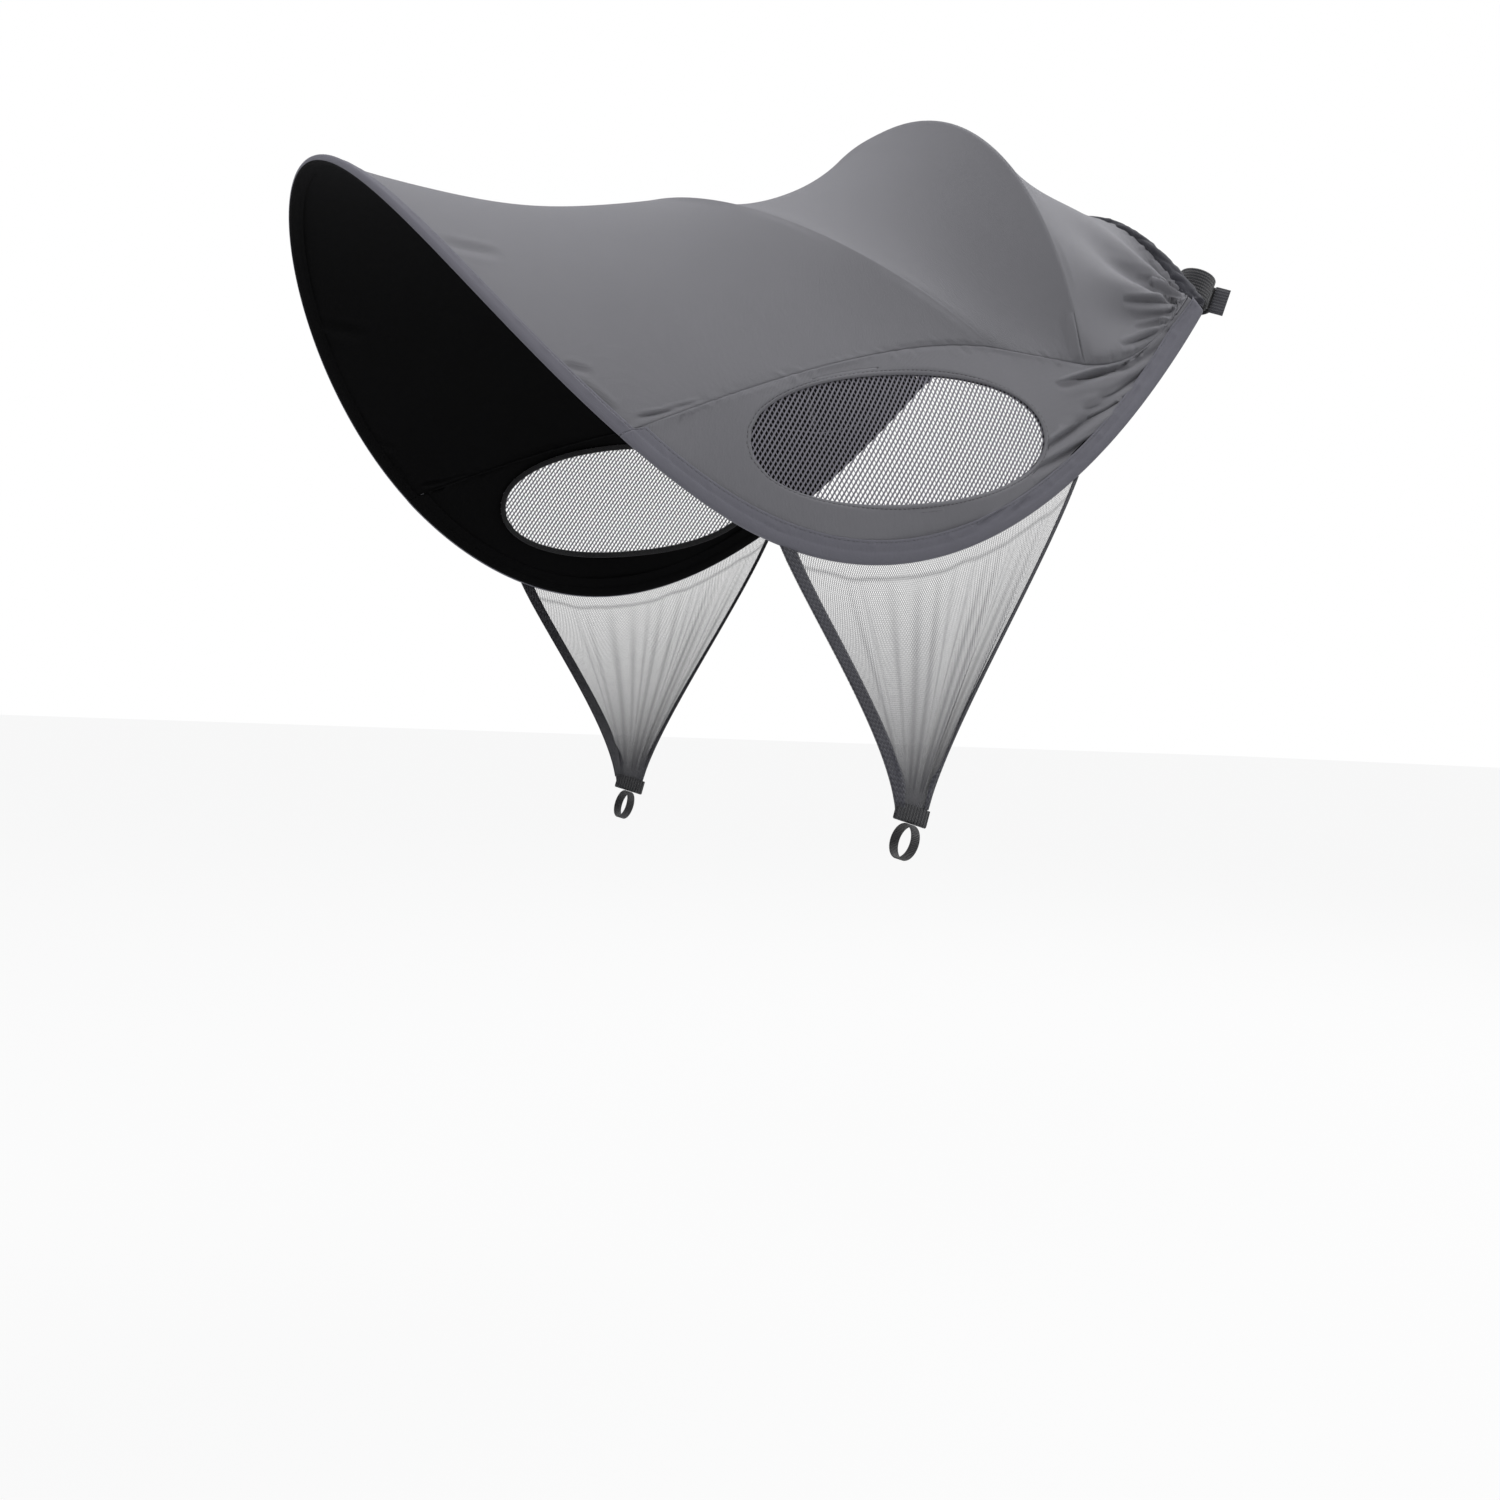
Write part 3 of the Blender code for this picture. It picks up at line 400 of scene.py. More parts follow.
def stitchRow(name, path, outward, finish, body):
    # a row of short threads along a path, each pointed where it enters the cloth
    lengths = lengthsAlong(path)
    spots = np.arange(stitch["pitch"] / 2, lengths[-1], stitch["pitch"])
    spots = spots + stitch["wander"] * np.sin(spots * 7000.0)
    along, out = sweepAxes(path, outward)
    middle, along, out = (interpolate(spots, lengths, values) for values in (path, along, out))
    beside = np.cross(along, out)
    lines = stitch["lines"]
    turn = np.linspace(0.0, 2 * math.pi, lines, endpoint=False)
    ring = (beside[:, None] * np.cos(turn)[:, None] + out[:, None] * np.sin(turn)[:, None])
    ring = ring * stitch["radius"]
    half = along * stitch["length"] / 2
    low = middle - out * stitch["radius"]
    shoulder = half * stitch["full"]
    points = np.concatenate([(low - half)[:, None], (middle - shoulder)[:, None] + ring,
                             (middle + shoulder)[:, None] + ring, (low + half)[:, None]], axis=1)
    points = points.reshape(-1, 3)
    size = 2 * lines + 2
    faces = []
    for start in range(0, len(spots) * size, size):
        for step in range(lines):
            first, second = start + 1 + step, start + 1 + (step + 1) % lines
            faces.append((start, second, first))
            faces.append((first, second, second + lines, first + lines))
            faces.append((first + lines, second + lines, start + size - 1))
    mesh = bpy.data.meshes.new(name)
    mesh.from_pydata(points.tolist(), [], faces)
    recalculate(mesh)
    which = np.arange(len(points)) // size
    arms = points - middle[which]
    reach, level = (np.sum(arms * ways[which], axis=1) for ways in (along, beside))
    layFlat(mesh, np.stack([spots[which] + reach, level], axis=1))
    mesh.shade_smooth()
    carry(makePiece(name, mesh, [finish]), body)


# finishes

class Value:
    # one value in a material, so that sums and products read as plain maths
    def __init__(self, finish, socket):
        self.finish = finish
        self.socket = socket

    def maths(self, operation, first, second):
        return self.finish.add("ShaderNodeMath", {"operation": operation}, {0: first, 1: second})

    def other(self, output):
        return Value(self.finish, self.socket.node.outputs[output])

    def __add__(self, other):
        return self.maths("ADD", self, other)

    def __sub__(self, other):
        return self.maths("SUBTRACT", self, other)

    def __rsub__(self, other):
        return self.maths("SUBTRACT", other, self)

    def __mul__(self, other):
        return self.maths("MULTIPLY", self, other)

    __radd__ = __add__


class Finish:
    # a material whose nodes are added by kind, settings and sockets
    def __init__(self, name, constants):
        self.material = bpy.data.materials.new(name)
        self.material.use_nodes = True
        self.tree = self.material.node_tree
        self.shader = self.tree.nodes["Principled BSDF"]
        for key, value in constants.items():
            self.shader.inputs[key].default_value = value

    def add(self, kind, settings=None, sockets=None, output=0):
        node = self.tree.nodes.new(kind)
        for key, value in (settings or {}).items():
            setattr(node, key, value)
        for key, value in (sockets or {}).items():
            self.join(node.inputs[key], value)
        return Value(self, node.outputs[output])

    def join(self, socket, value):
        if isinstance(value, Value):
            self.tree.links.new(value.socket, socket)
        else:
            socket.default_value = value

    def feed(self, key, value):
        self.join(self.shader.inputs[key], value)


def tone(colour):
    return (*colour, 1.0)


def mixTones(finish, factor, first, second):
    sockets = {0: factor, 6: first, 7: second}
    return finish.add("ShaderNodeMix", {"data_type": "RGBA"}, sockets, 2)


def noiseAt(finish, place, scale, detail=3.0, roughness=0.55):
    sockets = {"Vector": place, "Scale": scale, "Detail": detail, "Roughness": roughness}
    return finish.add("ShaderNodeTexNoise", None, sockets, "Fac")


def wave(finish, value):
    return finish.add("ShaderNodeMath", {"operation": "SINE"}, {0: value})


def between(finish, value, low, high):
    sockets = {"Value": value, "From Min": low, "From Max": high}
    return finish.add("ShaderNodeMapRange", {"clamp": True}, sockets)


def clothPlace(finish):
    place = finish.add("ShaderNodeUVMap", {"uv_map": "cloth"})
    split = finish.add("ShaderNodeSeparateXYZ", None, {0: place})
    return place, split, split.other(1)


def solidPlace(finish):
    return finish.add("ShaderNodeTexCoord", None, None, "Object")


def feedTones(finish, level, look):
    finish.feed("Base Color", mixTones(finish, level, tone(look["dark"]), tone(look["light"])))


def bumpFrom(finish, height, distance):
    sockets = {"Height": height, "Distance": distance, "Strength": 1.0}
    return finish.add("ShaderNodeBump", None, sockets)


def knitFinish(name, look):
    # a fine warp knit: ribs along the cloth crossed by a slighter stitch, fuzz, and soft blotches;
    # painted shade darkens it along the seams and on their puckers
    finish = Finish(name, {"Sheen Weight": look["sheen"], "Sheen Roughness": 0.45,
                           "Sheen Tint": tone(look["sheenTone"]),
                           "Specular IOR Level": look["specular"]})
    place, across, down = clothPlace(finish)
    turn = 2 * math.pi / look["pitch"]
    sway = noiseAt(finish, place, 90.0, 2.0) * (look["pitch"] * 1.4)
    ribs = wave(finish, (across + sway) * turn)
    stitches = wave(finish, (down + sway) * (turn * 1.55) + ribs * 0.8)
    weave = ribs * 0.5 + stitches * 0.32
    solid = solidPlace(finish)
    blotch = noiseAt(finish, solid, 9.0, 4.0)
    fuzz = noiseAt(finish, solid, 1400.0, 2.0, 0.7)
    seam = finish.add("ShaderNodeAttribute", {"attribute_name": "seam"}, None, "Fac")
    loose = between(finish, noiseAt(finish, place, 38.0, 2.0), 0.46, 0.64)
    pucker = wave(finish, down * (2 * math.pi / look["pucker"]) + noiseAt(finish, place, 55.0) * 14.0)
    pucker = pucker * loose
    level = 0.5 + (blotch - 0.5) * look["blotch"] + weave * look["contrast"] + (fuzz - 0.5) * 0.16
    # painted shade: darker beside the seams and round the window edges, and darker still on the
    # puckers there
    level = level - seam * (0.10 + pucker * 0.05)
    feedTones(finish, between(finish, level, 0.0, 1.0), look)
    finish.feed("Roughness", 0.84 + (fuzz - 0.5) * 0.12 + weave * 0.04)
    height = weave * 0.45 + fuzz * 0.35 + seam * pucker * look["puckerHeight"]
    finish.feed("Normal", bumpFrom(finish, height, look["bump"]))
    return finish.material


def plainWeaveFinish(name, look):
    # tape and webbing: yarns over and under, with blotches and specks of lint
    finish = Finish(name, {"Sheen Weight": look["sheen"], "Sheen Roughness": 0.4,
                           "Specular IOR Level": look["specular"]})
    along, across = clothPlace(finish)[1:]
    turn = 2 * math.pi / look["pitch"]
    over = wave(finish, along * turn)
    under = wave(finish, across * (turn * look["squash"]) + over * look["twill"])
    weave = over * under
    solid = solidPlace(finish)
    blotch = noiseAt(finish, solid, 30.0, 4.0)
    lint = between(finish, noiseAt(finish, solid, 900.0, 2.0, 0.7), 0.62, 0.8)
    level = 0.5 + weave * 0.32 + (blotch - 0.5) * 0.8 + lint * 0.35
    feedTones(finish, between(finish, level, 0.0, 1.0), look)
    finish.feed("Roughness", look["roughness"] - weave * 0.08 + lint * 0.1)
    finish.feed("Normal", bumpFrom(finish, weave + lint * 0.3, look["bump"]))
    return finish.material


def netFinish(name, look):
    # knotted filament: a slight twist along each strand, and soft blotches
    finish = Finish(name, {"Sheen Weight": 0.25, "Specular IOR Level": 0.45})
    solid = solidPlace(finish)
    twist = noiseAt(finish, solid, 700.0, 2.0, 0.6)
    blotch = noiseAt(finish, solid, 25.0, 3.0)
    level = twist * 0.6 + blotch * 0.4
    feedTones(finish, level, look)
    finish.feed("Roughness", 0.42 + twist * 0.2)
    finish.feed("Normal", bumpFrom(finish, twist, look["bump"]))
    return finish.material


def sheerFinish(name, look):
    # open net: the holes are see-through and the strands aren't, with the twist of the yarn
    finish = Finish(name, {"Sheen Weight": 0.5, "Sheen Roughness": 0.35, "Specular IOR Level": 0.3})
    across, down = clothPlace(finish)[1:]
    turn = 2 * math.pi / look["pitch"]
    first = wave(finish, (across + down * 0.58) * turn)
    second = wave(finish, (across - down * 0.58) * turn)
    strand = between(finish, first, look["edge"], look["edge"] + 0.3)
    other = between(finish, second, look["edge"], look["edge"] + 0.3)
    gather = finish.add("ShaderNodeAttribute", {"attribute_name": "gather"}, None, "Fac")
    hole = (1.0 - strand) * (1.0 - other) * (1.0 - gather)
    solid = solidPlace(finish)
    blotch = noiseAt(finish, solid, 14.0, 3.0)
    yarn = noiseAt(finish, solid, 1100.0, 2.0, 0.6)
    level = blotch * 0.5 + yarn * 0.5
    feedTones(finish, level, look)
    finish.feed("Roughness", 0.6 + yarn * 0.2)
    finish.feed("Alpha", 1.0 - hole * look["open"])
    finish.feed("Normal", bumpFrom(finish, first * second + yarn * 0.4, look["bump"]))
    return finish.material


def elasticFinish(name, look):
    # covered rubber: close ribs round the cord or across the band
    finish = Finish(name, {"Sheen Weight": 0.3, "Specular IOR Level": 0.3})
    along = clothPlace(finish)[1]
    ribs = wave(finish, along * (2 * math.pi / look["pitch"]))
    solid = solidPlace(finish)
    fuzz = noiseAt(finish, solid, 1200.0, 2.0, 0.6)
    level = 0.5 + ribs * 0.3 + (fuzz - 0.5) * 0.8
    feedTones(finish, between(finish, level, 0.0, 1.0), look)
    finish.feed("Roughness", 0.72 + ribs * 0.08)
    finish.feed("Normal", bumpFrom(finish, ribs + fuzz * 0.3, look["bump"]))
    return finish.material


def fastenerFinish(name, look):
    # the felted loops, or the rows of stiff hooks
    finish = Finish(name, {"Sheen Weight": look["sheen"], "Specular IOR Level": 0.3})
    along, across = clothPlace(finish)[1:]
    pile = noiseAt(finish, solidPlace(finish), look["pile"], 3.0, 0.7)
    turn = 2 * math.pi / look["pitch"]
    rows = wave(finish, along * turn) * wave(finish, across * turn)
    height = pile * (1.0 - look["hooks"]) + between(finish, rows, 0.1, 0.6) * look["hooks"]
    feedTones(finish, height, look)
    finish.feed("Roughness", look["roughness"] - height * 0.1)
    finish.feed("Normal", bumpFrom(finish, height, look["bump"]))
    return finish.material


def steelFinish(name, look):
    # drawn spring wire: fine lines along it, and dull patches of handling
    finish = Finish(name, {"Specular IOR Level": 0.5})
    solid = solidPlace(finish)
    stretched = finish.add("ShaderNodeMapping", None, {"Vector": solid, "Scale": (900.0, 40.0, 900.0)})
    drawn = noiseAt(finish, stretched, 1.0, 3.0)
    dull = noiseAt(finish, solid, 18.0, 4.0)
    feedTones(finish, dull, look)
    finish.feed("Metallic", 1.0 - between(finish, dull, 0.66, 0.8) * 0.4)
    finish.feed("Roughness", 0.24 + drawn * 0.16 + dull * 0.12)
    finish.feed("Normal", bumpFrom(finish, drawn, look["bump"]))
    return finish.material


def plasticFinish(name, look):
    # moulded black caps: a fine grain, rubbed shiny in patches
    finish = Finish(name, {"Specular IOR Level": 0.45})
    solid = solidPlace(finish)
    grain = noiseAt(finish, solid, 1600.0, 2.0, 0.6)
    rub = between(finish, noiseAt(finish, solid, 60.0, 3.0), 0.5, 0.75)
    feedTones(finish, rub, look)
    finish.feed("Roughness", 0.5 + grain * 0.12 - rub * 0.18)
    finish.feed("Normal", bumpFrom(finish, grain, look["bump"]))
    return finish.material


canopyLook = {"pitch": 0.0011, "pucker": 0.0095, "puckerHeight": 0.5, "bump": 0.00035, "sheen": 0.2,
              "sheenTone": (0.75, 0.75, 0.82), "specular": 0.2, "blotch": 0.35, "contrast": 0.10,
              "dark": (0.166, 0.165, 0.177), "light": (0.236, 0.234, 0.250)}
sideLook = dict(canopyLook, dark=(0.160, 0.159, 0.171), light=(0.226, 0.224, 0.240))
bandLook = dict(canopyLook, pucker=0.012, dark=(0.134, 0.133, 0.156), light=(0.200, 0.198, 0.228))
bindingLook = dict(canopyLook, pucker=0.012, dark=(0.138, 0.136, 0.160), light=(0.200, 0.197, 0.228))
# near-black cloth: the black lining inside the hood, and painted shade on the inner faces of the wing
# strips and under the turn of the folded strips
liningAndShadeLook = dict(canopyLook, blotch=0.6, sheen=0.03, specular=0.06, dark=(0.003, 0.003, 0.003),
                  light=(0.0065, 0.0065, 0.0068))
hemLook = dict(canopyLook, pucker=0.006, blotch=0.9, dark=(0.014, 0.014, 0.018),
               light=(0.052, 0.052, 0.062))

canopyCloth = knitFinish("canopyCloth", canopyLook)
sideCloth = knitFinish("sideCloth", sideLook)
bandCloth = knitFinish("bandCloth", bandLook)
bindingCloth = knitFinish("bindingCloth", bindingLook)
liningAndShadeCloth = knitFinish("liningAndShadeCloth", liningAndShadeLook)
hemCloth = knitFinish("hemCloth", hemLook)
tapeLook = {"pitch": 0.0012, "squash": 1.0, "twill": 1.2, "sheen": 0.2, "specular": 0.3,
            "roughness": 0.8, "bump": 0.0003, "dark": (0.010, 0.010, 0.011),
            "light": (0.030, 0.030, 0.032)}
webbingLook = {"pitch": 0.0022, "squash": 0.8, "twill": 2.4, "sheen": 0.3, "specular": 0.4,
               "roughness": 0.62, "bump": 0.0006, "dark": (0.012, 0.012, 0.014),
               "light": (0.050, 0.050, 0.056)}
strapLook = dict(webbingLook, roughness=0.7, dark=(0.040, 0.040, 0.048), light=(0.125, 0.126, 0.145))
wingHemLook = {"pitch": 0.0030, "squash": 0.7, "twill": 2.8, "sheen": 0.4, "specular": 0.3,
               "roughness": 0.7, "bump": 0.0004, "dark": (0.022, 0.022, 0.028),
               "light": (0.100, 0.100, 0.122)}
threadLook = {"pitch": 0.0007, "squash": 1.0, "twill": 0.5, "sheen": 0.2, "specular": 0.4,
              "roughness": 0.6, "bump": 0.0001, "dark": (0.07, 0.07, 0.08),
              "light": (0.14, 0.14, 0.155)}
darkThreadLook = dict(threadLook, dark=(0.012, 0.012, 0.014), light=(0.04, 0.04, 0.045))
tapeWeave = plainWeaveFinish("tapeWeave", tapeLook)
webbing = plainWeaveFinish("webbing", webbingLook)
strapWebbing = plainWeaveFinish("strapWebbing", strapLook)
wingHemWeave = plainWeaveFinish("wingHemWeave", wingHemLook)
thread = plainWeaveFinish("thread", threadLook)
darkThread = plainWeaveFinish("darkThread", darkThreadLook)

windowNet = netFinish("windowNet", {"bump": 0.0002, "dark": (0.110, 0.105, 0.125),
                                    "light": (0.240, 0.230, 0.270)})
sheerMesh = sheerFinish("sheerMesh", {"pitch": 0.0019, "edge": 0.62, "open": 0.97, "bump": 0.00015,
                                      "dark": (0.040, 0.040, 0.046), "light": (0.115, 0.114, 0.130)})
elasticCord = elasticFinish("elasticCord", {"pitch": 0.0009, "bump": 0.0003,
                                            "dark": (0.012, 0.012, 0.012),
                                            "light": (0.035, 0.035, 0.036)})
elasticBand = elasticFinish("elasticBand", {"pitch": 0.0013, "bump": 0.0003,
                                            "dark": (0.010, 0.010, 0.011),
                                            "light": (0.040, 0.040, 0.043)})
loopFelt = fastenerFinish("loopFelt", {"pile": 1900.0, "pitch": 0.0016, "hooks": 0.0, "sheen": 0.6,
                                       "roughness": 0.95, "bump": 0.0006,
                                       "dark": (0.008, 0.008, 0.008), "light": (0.045, 0.045, 0.047)})
hookRows = fastenerFinish("hookRows", {"pile": 1500.0, "pitch": 0.0016, "hooks": 0.8, "sheen": 0.0,
                                       "roughness": 0.55, "bump": 0.0006,
                                       "dark": (0.010, 0.010, 0.010), "light": (0.055, 0.055, 0.058)})
springSteel = steelFinish("springSteel", {"bump": 0.00008, "dark": (0.46, 0.46, 0.48),
                                          "light": (0.62, 0.62, 0.63)})
tipPlastic = plasticFinish("tipPlastic", {"bump": 0.0001, "dark": (0.014, 0.014, 0.015),
                                          "light": (0.04, 0.04, 0.042)})
print("finishes made")

# the rim, the bows and the seams

peak = np.array(hood["peak"])
waist = np.array(hood["waist"])
corner = np.array(hood["corner"])
midFoot = np.array(hood["midFoot"])
rearFoot = np.array(hood["rearFoot"])
cornerTop = np.array(hood["cornerTop"])
rim = np.concatenate([
    bezier(peak, peak + [hood["peakHandle"], 0, 0], waist - hood["waistHandle"], waist),
    bezier(waist, waist + hood["waistHandle"], corner - hood["cornerHandle"], corner)[1:],
])
rimLengths = lengthsAlong(rim)
startLength = np.interp(hood["seamStart"], rim[:curvePoints, 1], rimLengths[:curvePoints])
seamFoot = pointsAt(rim, [startLength])[0]
frontRim = pointsAt(rim, np.linspace(0.0, startLength, 800))
midBow = bowHalf(hood["midFoot"], hood["midHeight"], hood["midLean"], hood["midFullness"])
rearBow = bowHalf(hood["rearFoot"], hood["rearHeight"], hood["rearLean"], hood["rearFullness"])
hemLine = hemHalf()
frontSeam = bezier(seamFoot, seamFoot + hood["seamFrontHandle"],
                   midFoot - hood["seamMidHandle"], midFoot)
rearSeam = bezier(rearFoot, rearFoot + hood["seamRearHandle"],
                  cornerTop - hood["cornerTopHandle"], cornerTop)
frontSeamLength = lengthsAlong(frontSeam)[-1]

# how the cloth hangs on them, and how finely it is divided
canopy = {
    "columns": 116,
    "crowding": 1.7,
    "visorRows": 112,
    "crownRows": 66,
    "rearRows": 150,
    "nearRows": (0.0006, 0.0013, 0.0021, 0.0032, 0.0048, 0.0070),
    "leastStep": 0.0008,
    "visorLength": 0.30,
    "crownLength": 0.22,
    "rearLength": 0.20,
    "edge": 0.0024,
    "visorSag": 0.016,
    "crownSag": 0.028,
    "rearSag": 0.010,
    "rearHold": 9.0,
    "bowRound": 0.0050,
    "bowEase": 0.012,
    "hemEase": 0.010,
    "seamEase": 0.008,
    "drape": 0.0012,
    "pucker": 0.0010,
    "puckerPitch": 0.0105,
    "puckerPatch": 0.055,
    "puckerInset": 0.0035,
    "puckerWidth": 0.0032,
    "seamRoll": 0.0009,
    "seamRollWidth": 0.0016,
    "seamShadeAndPucker": 0.010,
    "foldHeight": 0.004,
    "foldReach": 0.085,
    "foldEase": 0.012,
    "folds": 4,
    "halfArch": 0.24,
    "gatherDepth": 0.0011,
    "gatherPitch": 0.009,
    "gatherReach": 0.013,
    "gatherStart": 0.05,
    "hemGap": 0.0030,
}

# creases that the photograph shows, as start, end, depth and width; see creaseDepth
seamStartCreases = (
    ((638, 416), (680, 410), 2.6, 2.6),
    ((664, 410), (700, 402), 1.6, 2.4),
)
visorCreases = (
    ((438, 241), (500, 254), 1.9, 4.0),
    ((440, 262), (476, 273), 1.0, 3.4),
    ((564, 364), (591, 372), 1.6, 3.2),
    ((580, 382), (617, 411), 1.8, 3.6),
    *seamStartCreases,
    ((1070, 312), (1080, 366), -2.2, 2.8),
    ((1060, 318), (1071, 368), 0.8, 3.0),
)
rearCreases = (
    ((1122, 300), (1184, 301), 4.4, 3.4),
    ((1130, 312), (1190, 309), -1.2, 3.0),
    ((1134, 328), (1184, 317), 3.2, 2.8),
    ((1120, 346), (1180, 326), 4.0, 3.2),
    ((1126, 361), (1160, 348), 2.0, 2.6),
    ((1136, 276), (1182, 289), 2.4, 3.4),
    ((1096, 262), (1176, 284), 1.0, 6.0),
)
sideCreases = (
    ((1058, 386), (1132, 364), 5.6, 3.4),
    ((1080, 414), (1152, 366), 6.0, 3.4),
    ((1040, 452), (1128, 392), 4.4, 3.8),
    ((1028, 474), (1112, 428), 2.6, 3.6),
    ((976, 527), (1004, 510), 1.6, 2.8),
    ((1134, 338), (1178, 326), 2.6, 2.8),
    ((1120, 372), (1160, 346), 2.6, 3.0),
    *seamStartCreases,
)
bandCreases = (
    ((764, 524), (790, 540), 1.6, 3.0),
    ((880, 561), (904, 556), 1.5, 3.0),
    ((976, 527), (1004, 510), 2.2, 3.2),
    ((1012, 512), (1030, 497), 2.0, 3.0),
    ((1084, 412), (1150, 367), 1.6, 4.2),
    ((1044, 450), (1120, 396), 1.6, 4.6),
    ((1132, 398), (1150, 372), 1.2, 3.0),
)


def stretched(first, last, shares, seam, sag, across, hold=0.0):
    # hold keeps the last row on its own curve until near the seam
    spread = across[None, :, None]
    shares = np.asarray(shares)[:, None, None]
    grid = (1 - shares) * first + shares * last
    grid = grid + spread ** (3 + hold * shares ** 2) * (seam - grid[:, -1])[:, None, :]
    dip = sag * 4 * shares * (1 - shares) * (1 - spread ** 4)
    return grid - outwardNormals(grid) * dip


def crowded(start, end, count, nearStart=(), nearEnd=()):
    # even shares from start to end, with more rows close to an end that has a crease
    rows = [np.linspace(start, end, count + 1)]
    rows += [start + np.array(nearStart), end - np.array(nearEnd)]
    rows = np.unique(np.round(np.concatenate(rows), 6))
    keep = np.concatenate([[True], np.diff(rows) > canopy["leastStep"]])
    keep[-1] = True
    return rows[keep]


def roundOver(grid, row):
    # the cloth rounds over the sleeve of a bow in place of a sharp crease
    before = unit(grid[row] - grid[row - 5])
    after = unit(grid[row + 5] - grid[row])
    bend = np.arccos(np.clip(np.sum(before * after, axis=1), -1, 1)) / 2
    slope = np.tan(bend)
    reach = np.maximum(canopy["bowRound"] * slope, 1e-6)
    away = np.linalg.norm(grid - grid[row], axis=2)
    drop = slope * np.clip(reach - away, 0, None) ** 2 / (2 * reach)
    return grid - unit(before - after) * drop[..., None]


def easing(values):
    values = np.clip(values, 0.0, 1.0)
    return values * values * (3 - 2 * values)


def cornerFan(grid):
    arms = grid - corner
    reach = np.linalg.norm(arms, axis=2)
    angle = np.arctan2(arms[..., 2], -arms[..., 1])
    swell = reach / canopy["foldReach"]
    height = canopy["foldHeight"] * swell * np.exp(1 - swell ** 2)
    return np.sin(angle * 2 * canopy["folds"]) * height


def archShares():
    even = np.linspace(0.0, 1.0, canopy["columns"] + 1)
    return 1 - (1 - even) ** canopy["crowding"]


def hoodGrids():
    across = archShares()
    near = np.array(canopy["nearRows"])
    first, mid, rear, hem = (atShares(path, across) for path in (frontRim, midBow, rearBow, hemLine))
    shares = crowded(canopy["edge"] / frontSeamLength, 1.0, canopy["visorRows"],
                     nearEnd=near / canopy["visorLength"])
    seam = atShares(frontSeam, shares)
    visor = stretched(first, mid, shares, seam, canopy["visorSag"], across)
    bothEnds = near / canopy["crownLength"]
    shares = crowded(0.0, 1.0, canopy["crownRows"], bothEnds, bothEnds)
    seam = midFoot + (rearFoot - midFoot) * shares[:, None]
    crown = stretched(mid, rear, shares, seam, canopy["crownSag"], across)
    shares = crowded(0.0, 1.0, canopy["rearRows"], near / canopy["rearLength"])
    seam = atShares(rearSeam, shares)
    back = stretched(rear, hem, shares, seam, canopy["rearSag"], across, canopy["rearHold"])
    edges = (back[:1], back[-1:], back[:, -1:])
    fromEdge = np.min([np.linalg.norm(back - edge, axis=2) for edge in edges], axis=0)
    folds = cornerFan(back) * easing(fromEdge / canopy["foldEase"])
    back = back + outwardNormals(back) * folds[..., None]
    whole = np.concatenate([visor, crown[1:], back[1:]])
    midRow, rearRow = len(visor) - 1, len(visor) + len(crown) - 2
    whole = roundOver(roundOver(whole, midRow), rearRow)
    return bothHalves(whole, 1), midRow, rearRow


def fromSeam(grid):
    # how far each point of the hood's cloth is from the side seam
    steps = np.linalg.norm(np.diff(grid, axis=1), axis=2)
    middle = grid.shape[1] // 2
    right = np.concatenate([np.cumsum(steps[:, ::-1], axis=1)[:, ::-1], np.zeros((len(grid), 1))], 1)
    left = np.concatenate([np.zeros((len(grid), 1)), np.cumsum(steps, axis=1)], axis=1)
    return np.concatenate([left[:, :middle], right[:, middle:]], axis=1)


def seamPucker(along, away):
    # small uneven ruffles beside a stretched seam
    strength = np.clip(ripple(along / canopy["puckerPatch"], 5.1) + 0.35, 0.0, 1.0)
    ruffle = ripple(along / canopy["puckerPitch"], 0.7, 2)
    beside = np.exp(-((away - canopy["puckerInset"]) / canopy["puckerWidth"]) ** 2)
    return canopy["pucker"] * strength * ruffle * beside


def seamRollAt(away):
    # the cloth turns in beside the seam
    return -canopy["seamRoll"] * np.clip(1 - away / canopy["seamRollWidth"], 0, 1) ** 1.5


def dressHood(grid, midRow, rearRow):
    normals = outwardNormals(grid)
    gap = fromSeam(grid)
    fade = easing(gap / canopy["seamEase"])
    rows = np.arange(len(grid))[:, None]
    toBow = np.linalg.norm(grid - grid[rearRow], axis=2)
    toBow = np.minimum(toBow, np.linalg.norm(grid - grid[midRow], axis=2))
    toHem = np.linalg.norm(grid - grid[-1], axis=2)
    calm = easing(toBow / canopy["bowEase"])
    visor = -creaseDepth(grid, visorCreases) * (rows < rearRow)
    rear = -creaseDepth(grid, rearCreases) * (rows > rearRow) * calm
    rear = rear * easing(toHem / canopy["hemEase"])
    along = np.linspace(-1, 1, grid.shape[1])[None, :] * canopy["halfArch"] / canopy["gatherPitch"]
    gathers = ripple(along + np.zeros_like(gap), 3.1) * canopy["gatherDepth"]
    gathers = gathers * np.exp(-(toHem / canopy["gatherReach"]) ** 2) * (rows > rearRow)
    gathers = gathers * np.clip(gap / canopy["gatherStart"], 0, 1)
    drape = np.sin(grid[..., 0] * 31 + grid[..., 1] * 17) * np.sin(grid[..., 1] * 23 + 1.3)
    drape = drape * canopy["drape"]
    pucker = seamPucker(lengthsAlong(grid[:, -1])[:, None], gap) * calm
    shift = seamRollAt(gap) + pucker + (visor + rear + (gathers + drape) * calm) * fade
    return grid + normals * shift[..., None], gap


plainCloth, midRow, rearRow = hoodGrids()
hoodCloth, seamGap = dressHood(plainCloth, midRow, rearRow)
# 1 at the side seam, fading away from it: the cloth is painted darker there as painted shade, and
#                                          puckered by its bump
seamShadeAndPucker = np.exp(-(seamGap / canopy["seamShadeAndPucker"]) ** 2)


